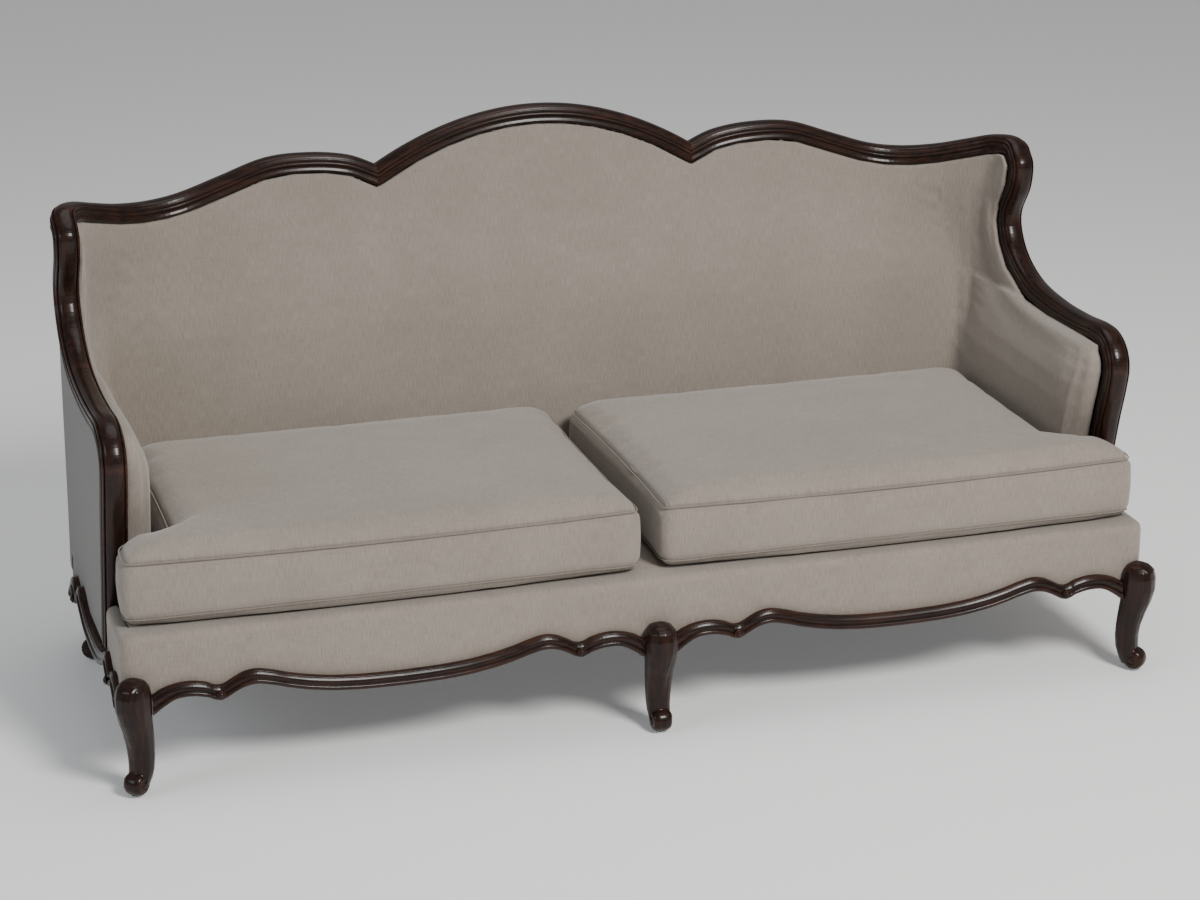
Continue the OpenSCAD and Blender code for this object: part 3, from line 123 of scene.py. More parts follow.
# Points of the crest as shares of the way from the notch to the ear, then down the wing, arm and stump
CREST_ACROSS = (0.083, 0.205, 0.343, 0.488, 0.610, 0.708, 0.804, 0.890, 0.959, 0.998)
CREST_BACK = (1, 1, 1, 0.998, 0.991, 0.972, 0.938, 0.890, 0.838, 0.776)
CREST_UP = (0.16, 0.27, 0.22, -0.11, -0.38, -0.46, -0.40, -0.23, -0.06, -0.03)
ARM_BACK = (
    0.727, 0.709, 0.720, 0.764, 0.748, 0.697, 0.609, 0.477, 0.346, 0.240,
    0.181, 0.147, 0.137, 0.148, 0.170, 0.187, 0.214, 0.251,
)
ARM_UP = (
    1.900, 1.798, 1.620, 1.404, 1.246, 1.111, 1.014, 0.990, 0.992, 1.002,
    0.980, 0.936, 0.884, 0.816, 0.725, 0.642, 0.498, 0.310,
)
EAR_U, ELBOW_U, SCROLL_U = 10, 17, 23

# Half of the rail's section: across in half widths, out in thicknesses
RAIL_HALF = (
    (0.12, -0.002), (0.25, -0.010), (0.38, -0.026), (0.50, -0.052), (0.60, -0.088), (0.665, -0.135),
    (0.70, -0.205), (0.735, -0.235), (0.765, -0.205), (0.80, -0.185), (0.85, -0.195), (0.89, -0.235),
    (0.90, -0.290), (0.885, -0.345), (0.87, -0.375), (0.90, -0.385), (0.95, -0.395), (0.99, -0.430),
    (1.00, -0.475), (0.98, -0.525), (0.93, -0.560), (0.875, -0.600), (0.865, -0.660), (0.89, -0.720),
    (0.955, -0.775), (0.975, -0.815), (0.93, -0.860), (0.80, -0.950), (0.70, -1.0),
)

# Lower edge of half a moulding: how far along it, and how high in its rise
SCALLOP_ALONG = (
    0, 0.015, 0.035, 0.06, 0.085, 0.11, 0.125, 0.14, 0.16, 0.18, 0.205, 0.235, 0.27, 0.31, 0.36, 0.42, 0.5,
)
SCALLOP_UP = (
    0.24, 0.46, 0.64, 0.74, 0.72, 0.58, 0.40, 0.40, 0.66, 0.90, 1, 0.86, 0.60, 0.36, 0.16, 0.04, 0,
)
BOSS_ALONG = (0.133, 0.867)
BOSS_UP = 0.68

# Section of the moulding: up in its height, out in its thickness
MOULDING = (
    (0.0, 0.0), (0.0, 0.62), (0.02, 0.78), (0.08, 0.91), (0.17, 0.985), (0.26, 0.985), (0.34, 0.92),
    (0.385, 0.82), (0.41, 0.745), (0.44, 0.735), (0.50, 0.79), (0.58, 0.80), (0.68, 0.77), (0.78, 0.70),
    (0.83, 0.63), (0.86, 0.60), (0.89, 0.635), (0.94, 0.65), (0.98, 0.61), (1.0, 0.54), (1.0, 0.0),
)


class SofaSettings(bpy.types.PropertyGroup):
    """Sizes and colours of the sofa's finish"""

    welt_radius: FloatProperty(
        name="Welt radius", description="Radius of the sewn welt on a cushion", default=0.0015, min=0.0008,
        max=0.006, unit="LENGTH",
    )
    seam_pull: FloatProperty(
        name="Seam pull", description="How far a seam draws the cover in", default=0.0026, min=0, max=0.01,
        unit="LENGTH",
    )
    seam_lift: FloatProperty(
        name="Lower seam", description="Height of the lower seam over the cushion's base", default=0.013,
        min=0, max=0.03, unit="LENGTH",
    )
    fill_cap: FloatProperty(
        name="Fill", description="How far the filling may push the cover out", default=0.011, min=0.002,
        max=0.03, unit="LENGTH",
    )
    cushion_voxel: FloatProperty(
        name="Cover cell", description="Cell of the cover's mesh before it is filled", default=0.009,
        min=0.005, max=0.02, unit="LENGTH",
    )
    edge_roll: FloatProperty(
        name="Edge roll", description="Height of the roll along the rail", default=0.0045, min=0, max=0.012,
        unit="LENGTH",
    )
    carving_voxel: FloatProperty(
        name="Carving cell", description="Cell of the mesh of the carved legs", default=0.0017, min=0.001,
        max=0.004, unit="LENGTH",
    )
    rail_steps: IntProperty(
        name="Rail steps", description="Rings of the rail between two points of its line", default=6, min=2,
        max=12,
    )
    thread: FloatProperty(
        name="Thread", description="Distance between two threads of the linen", default=0.0011, min=0.0004,
        max=0.004, unit="LENGTH",
    )
    linen: FloatVectorProperty(
        name="Linen", description="Colour of the linen", default=(0.335, 0.291, 0.248), min=0, max=1,
        subtype="COLOR",
    )
    linen_shade: FloatVectorProperty(
        name="Linen shade", description="Colour of its darker threads", default=(0.235, 0.200, 0.168),
        min=0, max=1, subtype="COLOR",
    )
    # Painted shade: the outside panels are the same linen as the seat, and this darker, greyer colour
    # paints the cool shade that falls on them
    outside: FloatVectorProperty(
        name="Outside linen", description="Colour of the outside panels", default=(0.225, 0.214, 0.204),
        min=0, max=1, subtype="COLOR",
    )
    show_wood: FloatVectorProperty(
        name="Show wood", description="Stain of the show wood", default=(0.0110, 0.0056, 0.0042), min=0,
        max=1, subtype="COLOR",
    )
    show_wood_warm: FloatVectorProperty(
        name="Show wood figure", description="Warm figure in the show wood",
        default=(0.058, 0.0200, 0.0110), min=0, max=1, subtype="COLOR",
    )
    beech: FloatVectorProperty(
        name="Frame wood", description="Colour of the hidden frame", default=(0.50, 0.33, 0.18), min=0,
        max=1, subtype="COLOR",
    )
    floor: FloatVectorProperty(
        name="Floor", description="Colour of the studio floor", default=(0.94, 0.94, 0.94), min=0, max=1,
        subtype="COLOR",
    )


def rise(share):
    """Height of a point of the arm's line"""
    return share * ARM_H if share <= 1 else ARM_H + (share - 1) * (EAR_H - ARM_H)


def side_line():
    """Points of the rail from the notch of the crest to the foot of the stump"""
    lift = CREST_H - EAR_H
    wide = ARM_X - VALLEY_X
    crest = [
        Vector(
            (VALLEY_X + a * wide, FRONT_Y + b * DEPTH, EAR_H + c * lift)
        ) for a, b, c in zip(CREST_ACROSS, CREST_BACK, CREST_UP)
    ]
    arm = [Vector((ARM_X, FRONT_Y + b * DEPTH, rise(c))) for b, c in zip(ARM_BACK, ARM_UP)]
    return [Vector((VALLEY_X, CREST_Y, CREST_H - VALLEY_DROP))] + crest + arm


SIDE_LINE = side_line()


def along(points, u):
    """Point on a smooth line through points, at place u"""
    last = len(points) - 1
    i = min(int(math.floor(u)), last - 1)
    t = u - i
    a, b, c, d = points[max(i - 1, 0)], points[i], points[i + 1], points[min(i + 2, last)]
    return 0.5 * (
        2 * b + (c - a) * t + (2 * a - 5 * b + 4 * c - d) * t * t + (3 * b - a - 3 * c + d) * t ** 3
    )


def place_at(centre, across, out):
    """Matrix that stands a flat section across a line: its x goes across, its y out"""
    through = across.cross(out)
    m = Matrix((across, out, through)).transposed().to_4x4()
    m.translation = centre
    return m


def side_place(u):
    """Where the side rail's section stands at place u"""
    last = len(SIDE_LINE) - 1
    t = (along(SIDE_LINE, min(u + 0.02, last)) - along(SIDE_LINE, max(u - 0.02, 0))).normalized()
    across = Vector((-1, 0, 0)) if u > EAR_U + 0.5 else Vector((t.y, -t.x, 0)).normalized()
    out = Vector((0, 0, 1 / math.hypot(t.x, t.y))) if u == 0 else across.cross(t).normalized()
    return place_at(along(SIDE_LINE, u), across * RAIL_W / 2, out * RAIL_T)


def arch_place(share):
    """Where the middle arch's section stands, at a share from -1 to 1"""
    slope = 2 * VALLEY_DROP * share / VALLEY_X
    centre = Vector((share * VALLEY_X, CREST_Y, CREST_H - VALLEY_DROP * share * share))
    out = Vector((0, 0, math.hypot(1, slope))) if abs(share) == 1 else Vector((slope, 0, 1)).normalized()
    return place_at(centre, Vector((0, -1, 0)) * RAIL_W / 2, out * RAIL_T)


def rail_section():
    """The whole section of the rail, from one side over its top to the other"""
    half = list(RAIL_HALF)
    return [(-a, o) for a, o in reversed(half)] + [(0.0, 0.0)] + half


def swept(section, places):
    """Mesh of a flat section drawn through the given places, closed at both ends"""
    bm = bmesh.new()
    first = [bm.verts.new(places[0] @ Vector((a, o, 0))) for a, o in section]
    face = bm.faces.new(first)
    for before, after in zip(places, places[1:]):
        grown = bmesh.ops.extrude_face_region(bm, geom=[face])["geom"]
        face = next(g for g in grown if isinstance(g, bmesh.types.BMFace))
        moved = [g for g in grown if isinstance(g, bmesh.types.BMVert)]
        bmesh.ops.transform(bm, matrix=after @ before.inverted(), verts=moved)
    return bm


def node_copy(node):
    """A CAD node's mesh as a joined-up copy"""
    bm = bmesh.new()
    bm.from_mesh(NODES[node].data)
    bmesh.ops.remove_doubles(bm, verts=bm.verts, dist=1e-5)
    bmesh.ops.recalc_face_normals(bm, faces=bm.faces)
    return bm


def flat_joined(node):
    """A CAD node's mesh with the triangles of each flat face joined"""
    bm = node_copy(node)
    bmesh.ops.dissolve_limit(bm, angle_limit=FLAT, verts=bm.verts, edges=bm.edges)
    return bm


def edges_rounded(bm, angle, radius, segments=3):
    """Rounds each edge of a mesh that turns by more than an angle"""
    edges = [e for e in bm.edges if len(e.link_faces) == 2 and e.calc_face_angle(0) > angle]
    bmesh.ops.bevel(
        bm, geom=edges, offset=radius, offset_type="OFFSET", affect="EDGES", segments=segments, profile=0.5,
        material=-1,
    )
    return bm


def mirrored(bm):
    """The same mesh on the other side of the sofa"""
    bmesh.ops.scale(bm, vec=(-1, 1, 1), verts=bm.verts)
    bmesh.ops.recalc_face_normals(bm, faces=bm.faces)
    return bm


def finished(name, source, finish, nodes=(), body=FRAME, smooth_below=40):
    """Object of a mesh, riding on its body in place of its CAD nodes"""
    if isinstance(source, bmesh.types.BMesh):
        bmesh.ops.recalc_face_normals(source, faces=source.faces)
        mesh = bpy.data.meshes.new(name)
        source.to_mesh(mesh)
        source.free()
    else:
        mesh = source
        mesh.name = name
    mesh.materials.clear()
    mesh.materials.append(finish)
    mesh.shade_smooth()
    if smooth_below < 180:
        mesh.set_sharp_from_angle(angle=math.radians(smooth_below))
    piece = bpy.data.objects.new(name, mesh)
    bpy.context.scene.collection.objects.link(piece)
    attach(piece, body)
    if nodes:
        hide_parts(*nodes)
    return piece


def worked(mesh, *steps):
    """Mesh with modifiers applied, each step a type and its values"""
    temp = bpy.data.objects.new("work", mesh)
    bpy.context.scene.collection.objects.link(temp)
    for kind, values in steps:
        modifier = temp.modifiers.new(kind.title(), kind)
        for key, value in values.items():
            setattr(modifier, key, value)
    bpy.context.view_layer.update()
    result = bpy.data.meshes.new_from_object(temp.evaluated_get(bpy.context.evaluated_depsgraph_get()))
    bpy.data.objects.remove(temp)
    return result


def as_mesh(bm, name="work"):
    """Mesh data made from a bmesh, which it frees"""
    mesh = bpy.data.meshes.new(name)
    bm.to_mesh(mesh)
    bm.free()
    return mesh


def tube(lines, radius, closed=False, resolution=3):
    """Round cord along each line of points"""
    data = bpy.data.curves.new("cord", "CURVE")
    data.dimensions = "3D"
    data.bevel_depth = radius
    data.bevel_resolution = resolution
    data.use_fill_caps = True
    for line in lines:
        spline = data.splines.new("POLY")
        spline.points.add(len(line) - 1)
        for point, place in zip(spline.points, line):
            point.co = (*place, 1)
        spline.use_cyclic_u = closed
    temp = bpy.data.objects.new("cord", data)
    bpy.context.scene.collection.objects.link(temp)
    bpy.context.view_layer.update()
    mesh = bpy.data.meshes.new_from_object(temp.evaluated_get(bpy.context.evaluated_depsgraph_get()))
    bpy.data.objects.remove(temp)
    return mesh


def pressed(mesh, depth):
    """Moves each point of a mesh in along its normal by depth(place, normal)"""
    normals = [v.normal.copy() for v in mesh.vertices]
    places = [v.co - n * depth(v.co, n) for v, n in zip(mesh.vertices, normals)]
    for v, place in zip(mesh.vertices, places):
        v.co = place
    mesh.update()
    return mesh


def ease(t):
    """Smooth step from 0 to 1, held at both ends"""
    t = max(0.0, min(1.0, t))
    return t * t * (3 - 2 * t)


def new_group(name, inputs, outputs):
    """Empty shader node group with named sockets"""
    group = bpy.data.node_groups.new(name, "ShaderNodeTree")
    for label, kind, default in inputs:
        socket = group.interface.new_socket(name=label, in_out="INPUT", socket_type=kind)
        socket.default_value = default
    for label, kind in outputs:
        group.interface.new_socket(name=label, in_out="OUTPUT", socket_type=kind)
    return group, Wiring(group)


class Wiring:
    """Short ways to add and join nodes of one tree"""

    def __init__(self, tree):
        self.tree = tree

    def put(self, socket, value):
        """Links an input socket to an output, or gives it a value"""
        if isinstance(value, bpy.types.NodeSocket):
            self.tree.links.new(value, socket)
        else:
            socket.default_value = value

    def node(self, kind, values=None, **inputs):
        node = self.tree.nodes.new(kind)
        for key, value in (values or {}).items():
            setattr(node, key, value)
        for key, value in inputs.items():
            self.feed(node, key.replace("_", " "), value)
        return node

    def feed(self, node, socket, value):
        self.put(node.inputs[int(socket)] if socket.isdigit() else node.inputs[socket], value)

    def sums(self, operation, a, b=0.0, c=0.0):
        node = self.tree.nodes.new("ShaderNodeMath")
        node.operation = operation
        for socket, value in zip(node.inputs, (a, b, c)):
            self.put(socket, value)
        return node.outputs[0]

    def mix(self, share, a, b, blend="MIX"):
        node = self.tree.nodes.new("ShaderNodeMix")
        node.data_type = "RGBA"
        node.blend_type = blend
        for socket, value in zip((node.inputs[0], node.inputs[6], node.inputs[7]), (share, a, b)):
            self.put(socket, value)
        return node.outputs[2]

    def spread(self, value, low, high, to_low=0.0, to_high=1.0):
        node = self.node("ShaderNodeMapRange", {"interpolation_type": "SMOOTHSTEP"})
        for socket, entry in zip(node.inputs, (value, low, high, to_low, to_high)):
            self.put(socket, entry)
        return node.outputs[0]

    def noise(self, vector, scale, detail=3.0, roughness=0.5):
        node = self.node(
            "ShaderNodeTexNoise", None, Vector=vector, Scale=scale, Detail=detail, Roughness=roughness,
        )
        return node.outputs["Fac"]


def linen_weave_group():
    """Plain weave whose threads follow the two directions that face each surface most"""
    group, w = new_group(
        "Linen weave",
        [("Light", "NodeSocketColor", (0.3, 0.3, 0.3, 1)), ("Shade", "NodeSocketColor", (0.2, 0.2, 0.2, 1)),
         ("Thread", "NodeSocketFloat", 0.001), ("Slub", "NodeSocketFloat", 0.5)],
        [("Color", "NodeSocketColor"), ("Roughness", "NodeSocketFloat"), ("Height", "NodeSocketFloat")],
    )
    ins = w.node("NodeGroupInput").outputs
    coord = w.node("ShaderNodeTexCoord").outputs
    place = w.node("ShaderNodeSeparateXYZ", None, Vector=coord["Object"]).outputs
    facing = w.node("ShaderNodeSeparateXYZ", None, Vector=coord["Normal"]).outputs
    side = w.sums("GREATER_THAN", w.sums("ABSOLUTE", facing[0]), 0.72)
    flat = w.sums("GREATER_THAN", w.sums("ABSOLUTE", facing[2]), 0.72)
    across = w.sums("MULTIPLY_ADD", side, w.sums("SUBTRACT", place[1], place[0]), place[0])
    up = w.sums("MULTIPLY_ADD", flat, w.sums("SUBTRACT", place[1], place[2]), place[2])
    turns = w.sums("DIVIDE", math.tau, ins["Thread"])
    wander = w.sums("MULTIPLY", w.noise(coord["Object"], 35.0, 2.0), 0.0035)
    warp = w.sums("SINE", w.sums("MULTIPLY", w.sums("ADD", across, wander), turns))
    weft = w.sums("SINE", w.sums("MULTIPLY", w.sums("ADD", up, wander), turns))
    weave = w.sums("MULTIPLY_ADD", w.sums("MULTIPLY", warp, weft), 0.5, 0.5)
    ribs = w.sums("MULTIPLY_ADD", warp, 0.5, 0.5)
    long_way = w.node(
        "ShaderNodeCombineXYZ", None, X=w.sums("MULTIPLY", across, 700.0), Y=w.sums("MULTIPLY", up, 45.0),
        Z=0.0,
    ).outputs[0]
    cross_way = w.node(
        "ShaderNodeCombineXYZ", None, X=w.sums("MULTIPLY", across, 30.0), Y=w.sums("MULTIPLY", up, 640.0),
        Z=3.7,
    ).outputs[0]
    slub = w.sums(
        "MULTIPLY_ADD", w.noise(long_way, 1.0, 2.0), 0.78,
        w.sums("MULTIPLY", w.noise(cross_way, 1.0, 2.0), 0.22),
    )
    fleck = w.spread(w.noise(coord["Object"], 520.0, 2.0, 0.6), 0.60, 0.78)
    clouds = w.spread(w.noise(coord["Object"], 5.5, 4.0, 0.62), 0.32, 0.70)
    soft = w.spread(w.noise(coord["Object"], 46.0, 3.0, 0.6), 0.30, 0.72)
    slubs = w.spread(slub, 0.34, 0.66)
    specks = w.spread(w.noise(coord["Object"], 820.0, 2.0, 0.7), 0.34, 0.66)
    tone = w.sums(
        "MULTIPLY_ADD", slubs, ins["Slub"],
        w.sums("MULTIPLY_ADD", clouds, 0.16, w.sums("MULTIPLY", soft, 0.07)),
    )
    tone = w.sums("MULTIPLY_ADD", specks, 0.28, tone)
    tone = w.sums("MULTIPLY_ADD", weave, 0.16, tone)
    tone = w.sums("SUBTRACT", tone, w.sums("MULTIPLY", fleck, 0.30))
    colour = w.mix(w.spread(tone, 0.05, 1.05), ins["Shade"], ins["Light"])
    out = w.node("NodeGroupOutput")
    w.feed(out, "Color", colour)
    w.feed(out, "Roughness", w.sums("MULTIPLY_ADD", slubs, -0.10, 0.93))
    height = w.sums(
        "MULTIPLY_ADD", slubs, 0.55, w.sums("MULTIPLY_ADD", weave, 0.30, w.sums("MULTIPLY", ribs, 0.15)),
    )
    w.feed(out, "Height", height)
    return group


def grain_group():
    """Long wood grain with pores and slightly worn edges"""
    group, w = new_group(
        "Wood grain",
        [("Stain", "NodeSocketColor", (0.05, 0.02, 0.01, 1)),
         ("Figure", "NodeSocketColor", (0.1, 0.04, 0.02, 1)), ("Stretch", "NodeSocketVector", (1, 1, 1)),
         ("Contrast", "NodeSocketFloat", 0.5), ("Wear", "NodeSocketFloat", 0.3)],
        [("Color", "NodeSocketColor"), ("Roughness", "NodeSocketFloat"), ("Height", "NodeSocketFloat")],
    )
    ins = w.node("NodeGroupInput").outputs
    coord = w.node("ShaderNodeTexCoord").outputs["Object"]
    drawn = w.node("ShaderNodeVectorMath", {"operation": "MULTIPLY"})
    w.feed(drawn, "0", coord)
    w.feed(drawn, "1", ins["Stretch"])
    bent = w.node("ShaderNodeVectorMath", {"operation": "ADD"})
    w.feed(bent, "0", drawn.outputs[0])
    w.feed(
        bent, "1", w.node("ShaderNodeTexNoise", None, Vector=coord, Scale=6.0, Detail=2.0).outputs["Color"],
    )
    figure = w.spread(w.noise(bent.outputs[0], 1.0, 5.0, 0.62), 0.36, 0.70)
    pores = w.spread(w.noise(drawn.outputs[0], 5.5, 2.0, 0.6), 0.58, 0.72)
    clouds = w.noise(coord, 4.0, 3.0)
    edge = w.spread(w.node("ShaderNodeNewGeometry").outputs["Pointiness"], 0.515, 0.58)
    worn = w.sums(
        "MULTIPLY", w.sums("MULTIPLY", edge, ins["Wear"]), w.spread(w.noise(coord, 30.0, 3.0), 0.30, 0.62),
    )
    share = w.sums("MULTIPLY", w.sums("MULTIPLY", figure, ins["Contrast"]), w.sums("ADD", clouds, 0.45))
    colour = w.mix(w.sums("MINIMUM", w.sums("ADD", share, worn), 1.0), ins["Stain"], ins["Figure"])
    colour = w.mix(w.sums("MULTIPLY", pores, 0.45), colour, ins["Stain"], "MULTIPLY")
    out = w.node("NodeGroupOutput")
    w.feed(out, "Color", colour)
    w.feed(
        out, "Roughness",
        w.sums("MULTIPLY_ADD", w.noise(coord, 38.0, 3.0), 0.14, w.sums("MULTIPLY_ADD", pores, 0.08, 0.22)),
    )
    w.feed(out, "Height", w.sums("MULTIPLY_ADD", pores, -0.6, w.sums("MULTIPLY", figure, 0.3)))
    return group


GROUPS = {}
FINISHES = {}


def shared(name):
    """A node group, built the first time that it is asked for"""
    if name not in GROUPS:
        GROUPS[name] = {"weave": linen_weave_group, "grain": grain_group}[name]()
    return GROUPS[name]


def surface(name, group, group_values, bump, shader_values):
    """Material whose colour, roughness and height come from a group"""
    material = bpy.data.materials.new(name)
    material.use_nodes = True
    w = Wiring(material.node_tree)
    shader = material.node_tree.nodes["Principled BSDF"]
    pattern = w.node("ShaderNodeGroup", {"node_tree": shared(group)})
    for key, value in group_values.items():
        pattern.inputs[key].default_value = value
    relief = w.node(
        "ShaderNodeBump", None, Strength=bump[0], Distance=bump[1], Height=pattern.outputs["Height"],
    )
    w.feed(shader, "Base Color", pattern.outputs["Color"])
    w.feed(shader, "Roughness", pattern.outputs["Roughness"])
    w.feed(shader, "Normal", relief.outputs[0])
    for key, value in shader_values.items():
        shader.inputs[key].default_value = value
    return material


def solid_colour(value):
    """A colour with full alpha"""
    return (*value, 1.0)


def darker(value, share):
    """A share of a colour, with full alpha"""
    return (*[c * share for c in value], 1.0)


def linen(kind):
    """Woven cloth: the seat linen, the outside linen (the seat linen made darker and greyer, painted shade
    on the outside panels), webbing, dust cloth or deck cloth
    """
    if kind in FINISHES:
        return FINISHES[kind]
    s = bpy.context.scene.sofa
    looks = {
        "linen": (solid_colour(s.linen), solid_colour(s.linen_shade), s.thread, 0.40, (0.55, 0.0006), 0.35),
        # Outside panels: the seat linen darkened and greyed, painted shade
        "outside": (solid_colour(s.outside), darker(s.outside, 0.76), s.thread, 0.30, (0.40, 0.0005), 0.25),
        # Welts: the seat linen darkened, painted shade along the cushion seams
        "welt": (darker(s.linen, 0.82), darker(s.linen_shade, 0.80), s.thread, 0.35, (0.5, 0.0004), 0.25),
        "webbing": ((0.46, 0.36, 0.22, 1), (0.22, 0.15, 0.08, 1), 0.0032, 0.5, (0.8, 0.0012), 0.1),
        "dust_cloth": ((0.022, 0.022, 0.023, 1), (0.008, 0.008, 0.008, 1), 0.0012, 0.3, (0.3, 0.0003), 0.1),
    }
    light, shade, thread, slub, bump, sheen = looks[kind]
    FINISHES[kind] = surface(
        kind + "_cloth", "weave", {"Light": light, "Shade": shade, "Thread": thread, "Slub": slub}, bump,
        {"Sheen Weight": sheen, "Sheen Roughness": 0.5, "Specular IOR Level": 0.22},
    )
    return FINISHES[kind]


def wood(kind, way="x"):
    """Lacquered show wood or sawn frame wood, its grain along the named axis"""
    key = kind + way
    if key in FINISHES:
        return FINISHES[key]
    s = bpy.context.scene.sofa
    stretch = {"x": (9.0, 95.0, 95.0), "y": (95.0, 9.0, 95.0), "z": (95.0, 95.0, 9.0)}[way]
    if kind == "show":
        values = {
            "Stain": solid_colour(s.show_wood), "Figure": solid_colour(s.show_wood_warm),
            "Stretch": stretch, "Contrast": 0.42, "Wear": 0.55,
        }
        shader = {"Coat Weight": 0.16, "Coat Roughness": 0.13, "Specular IOR Level": 0.16}
        bump = (0.18, 0.0004)
    else:
        values = {
            "Stain": darker(s.beech, 0.66), "Figure": solid_colour(s.beech), "Stretch": stretch,
            "Contrast": 1.0, "Wear": 0.1,
        }
        shader = {"Specular IOR Level": 0.3}
        bump = (0.35, 0.0006)
    FINISHES[key] = surface(kind + "_wood_" + way, "grain", values, bump, shader)
    return FINISHES[key]


def brushed_steel():
    """Zinc-plated steel with fine streaks"""
    if "steel" not in FINISHES:
        material = bpy.data.materials.new("plated_steel")
        material.use_nodes = True
        w = Wiring(material.node_tree)
        shader = material.node_tree.nodes["Principled BSDF"]
        coord = w.node("ShaderNodeTexCoord").outputs["Object"]
        streaks = w.noise(coord, 700.0, 2.0)
        w.feed(shader, "Base Color", w.mix(streaks, (0.42, 0.43, 0.45, 1), (0.60, 0.61, 0.63, 1)))
        w.feed(shader, "Roughness", w.spread(streaks, 0.2, 0.8, 0.25, 0.45))
        shader.inputs["Metallic"].default_value = 1.0
        FINISHES["steel"] = material
    return FINISHES["steel"]


def open_foam():
    """Open-cell foam with small pores"""
    if "foam" not in FINISHES:
        material = bpy.data.materials.new("cushion_foam")
        material.use_nodes = True
        w = Wiring(material.node_tree)
        shader = material.node_tree.nodes["Principled BSDF"]
        coord = w.node("ShaderNodeTexCoord").outputs["Object"]
        cells = w.node("ShaderNodeTexVoronoi", None, Vector=coord, Scale=420.0).outputs["Distance"]
        w.feed(shader, "Base Color", w.mix(cells, (0.62, 0.56, 0.40, 1), (0.80, 0.75, 0.58, 1)))
        relief = w.node("ShaderNodeBump", None, Strength=0.6, Distance=0.001, Height=cells)
        w.feed(shader, "Normal", relief.outputs[0])
        shader.inputs["Roughness"].default_value = 0.95
        FINISHES["foam"] = material
    return FINISHES["foam"]


class SOFA_OT_show_wood_rails(bpy.types.Operator):
    """Sweeps the beaded show-wood rail over the back, round the ears and down the arms"""

    bl_idname = "sofa.show_wood_rails"
    bl_label = "Show-wood rails"

    def execute(self, context):
        steps = context.scene.sofa.rail_steps
        section = rail_section()
        arch = [arch_place(2 * i / (steps * 8) - 1) for i in range(steps * 8 + 1)]
        finished(
            "crest_middle", swept(section, arch), wood("show", "x"), ["crest_rail_centre"],
        )
        parts = {
            "crest_rail": (0, EAR_U, "x"),
            "wing_rail": (EAR_U, ELBOW_U, "z"),
            "arm_rail": (ELBOW_U, SCROLL_U, "y"),
            "arm_stump": (SCROLL_U, len(SIDE_LINE) - 1, "z"),
        }
        for side, sign in SIDES.items():
            for part, (low, high, way) in parts.items():
                count = (high - low) * steps
                bm = swept(section, [side_place(low + (high - low) * i / count) for i in range(count + 1)])
                if sign < 0:
                    mirrored(bm)
                finished(f"{part}_{side}_moulded", bm, wood("show", way), [f"{part}_{side}"])
        return {"FINISHED"}


def leg_local(name):
    """Matrix of a leg's own frame: out along +X from the middle of the knee"""
    x, y, turn = LEGS[name]
    return Matrix.Translation((x, y, 0)) @ Matrix.Rotation(math.radians(turn), 4, "Z")


def carved(name, voxel):
    """The leg with its edges softened and a tongue raised on the knee"""
    mesh = worked(
        as_mesh(node_copy(name)),
        ("REMESH", {"mode": "VOXEL", "voxel_size": voxel}),
        ("SMOOTH", {"factor": 0.5, "iterations": 5}),
    )
    own = leg_local(name)
    back = own.inverted()
    for v in mesh.vertices:
        p = back @ v.co
        up = p.z / KNEE_H
        if p.x > -0.5 * KNEE_R and up > 0.2:
            reach = 0.30 + 0.55 * ease((up - 0.45) / 0.45)
            tongue = 1 - ease((abs(p.y) / KNEE_R - reach * 0.55) / 0.16)
            fade = ease((up - 0.30) / 0.25) * (1 - ease((up - 0.955) / 0.04))
            p.x += TONGUE_H * tongue * fade
            v.co = own @ p
    heart = scroll_heart()
    for v in mesh.vertices:
        p = back @ v.co
        radius = math.hypot(p.x - heart.x, p.z - heart.z)
        near = 1 - ease((radius / SCROLL_R - 1.0) / 0.35)
        if p.z < 2.4 * SCROLL_R and near > 0:
            wide = min(1.0, abs(p.y) / FOOT_HALF_W)
            drawn = 1 - 0.26 * near * wide ** 3
            p.x = heart.x + (p.x - heart.x) * drawn
            p.z = heart.z + (p.z - heart.z) * drawn
            p.y *= 1 + 0.10 * near * (1 - ease(radius / SCROLL_R))
            v.co = own @ p
    return mesh


def scroll_heart():
    """Middle of the scroll foot in the leg's own frame"""
    return Vector((-0.10 * KNEE_R, 0, GLIDE_T + SCROLL_R - 0.001))


class SOFA_OT_carved_legs(bpy.types.Operator):
    """Carves the cabriole legs, their scroll feet and volutes"""

    bl_idname = "sofa.carved_legs"
    bl_label = "Carved legs"

    def execute(self, context):
        voxel = context.scene.sofa.carving_voxel * 1
        for name in LEGS:
            mesh = carved(name, voxel)
            finished(name + "_carved", mesh, wood("show", "z"), [name], smooth_below=180)
            own = leg_local(name)
            lines = []
            for face in (-1, 1):
                line = []
                for i in range(int(VOLUTE_TURNS * VOLUTE_STEPS) + 1):
                    t = i / VOLUTE_STEPS
                    radius = SCROLL_R * (0.66 - 0.34 * t)
                    turn = math.tau * t + 0.6
                    out = FOOT_HALF_W * (1 + 0.10 * (1 - ease(radius / SCROLL_R))) - 0.0004
                    line.append(
                        own @ (
                            scroll_heart() + Vector(
                                (radius * math.cos(turn), face * out, radius * math.sin(turn))
                            )
                        )
                    )
                lines.append(line)
            volutes = tube(lines, VOLUTE_CORD)
            finished(name + "_volutes", volutes, wood("show", "z"), smooth_below=180)
        glides = edges_rounded(node_copy("foot_glides"), 0.8, 0.0005, 2)
        finished("glides", glides, brushed_steel(), ["foot_glides"])
        return {"FINISHED"}


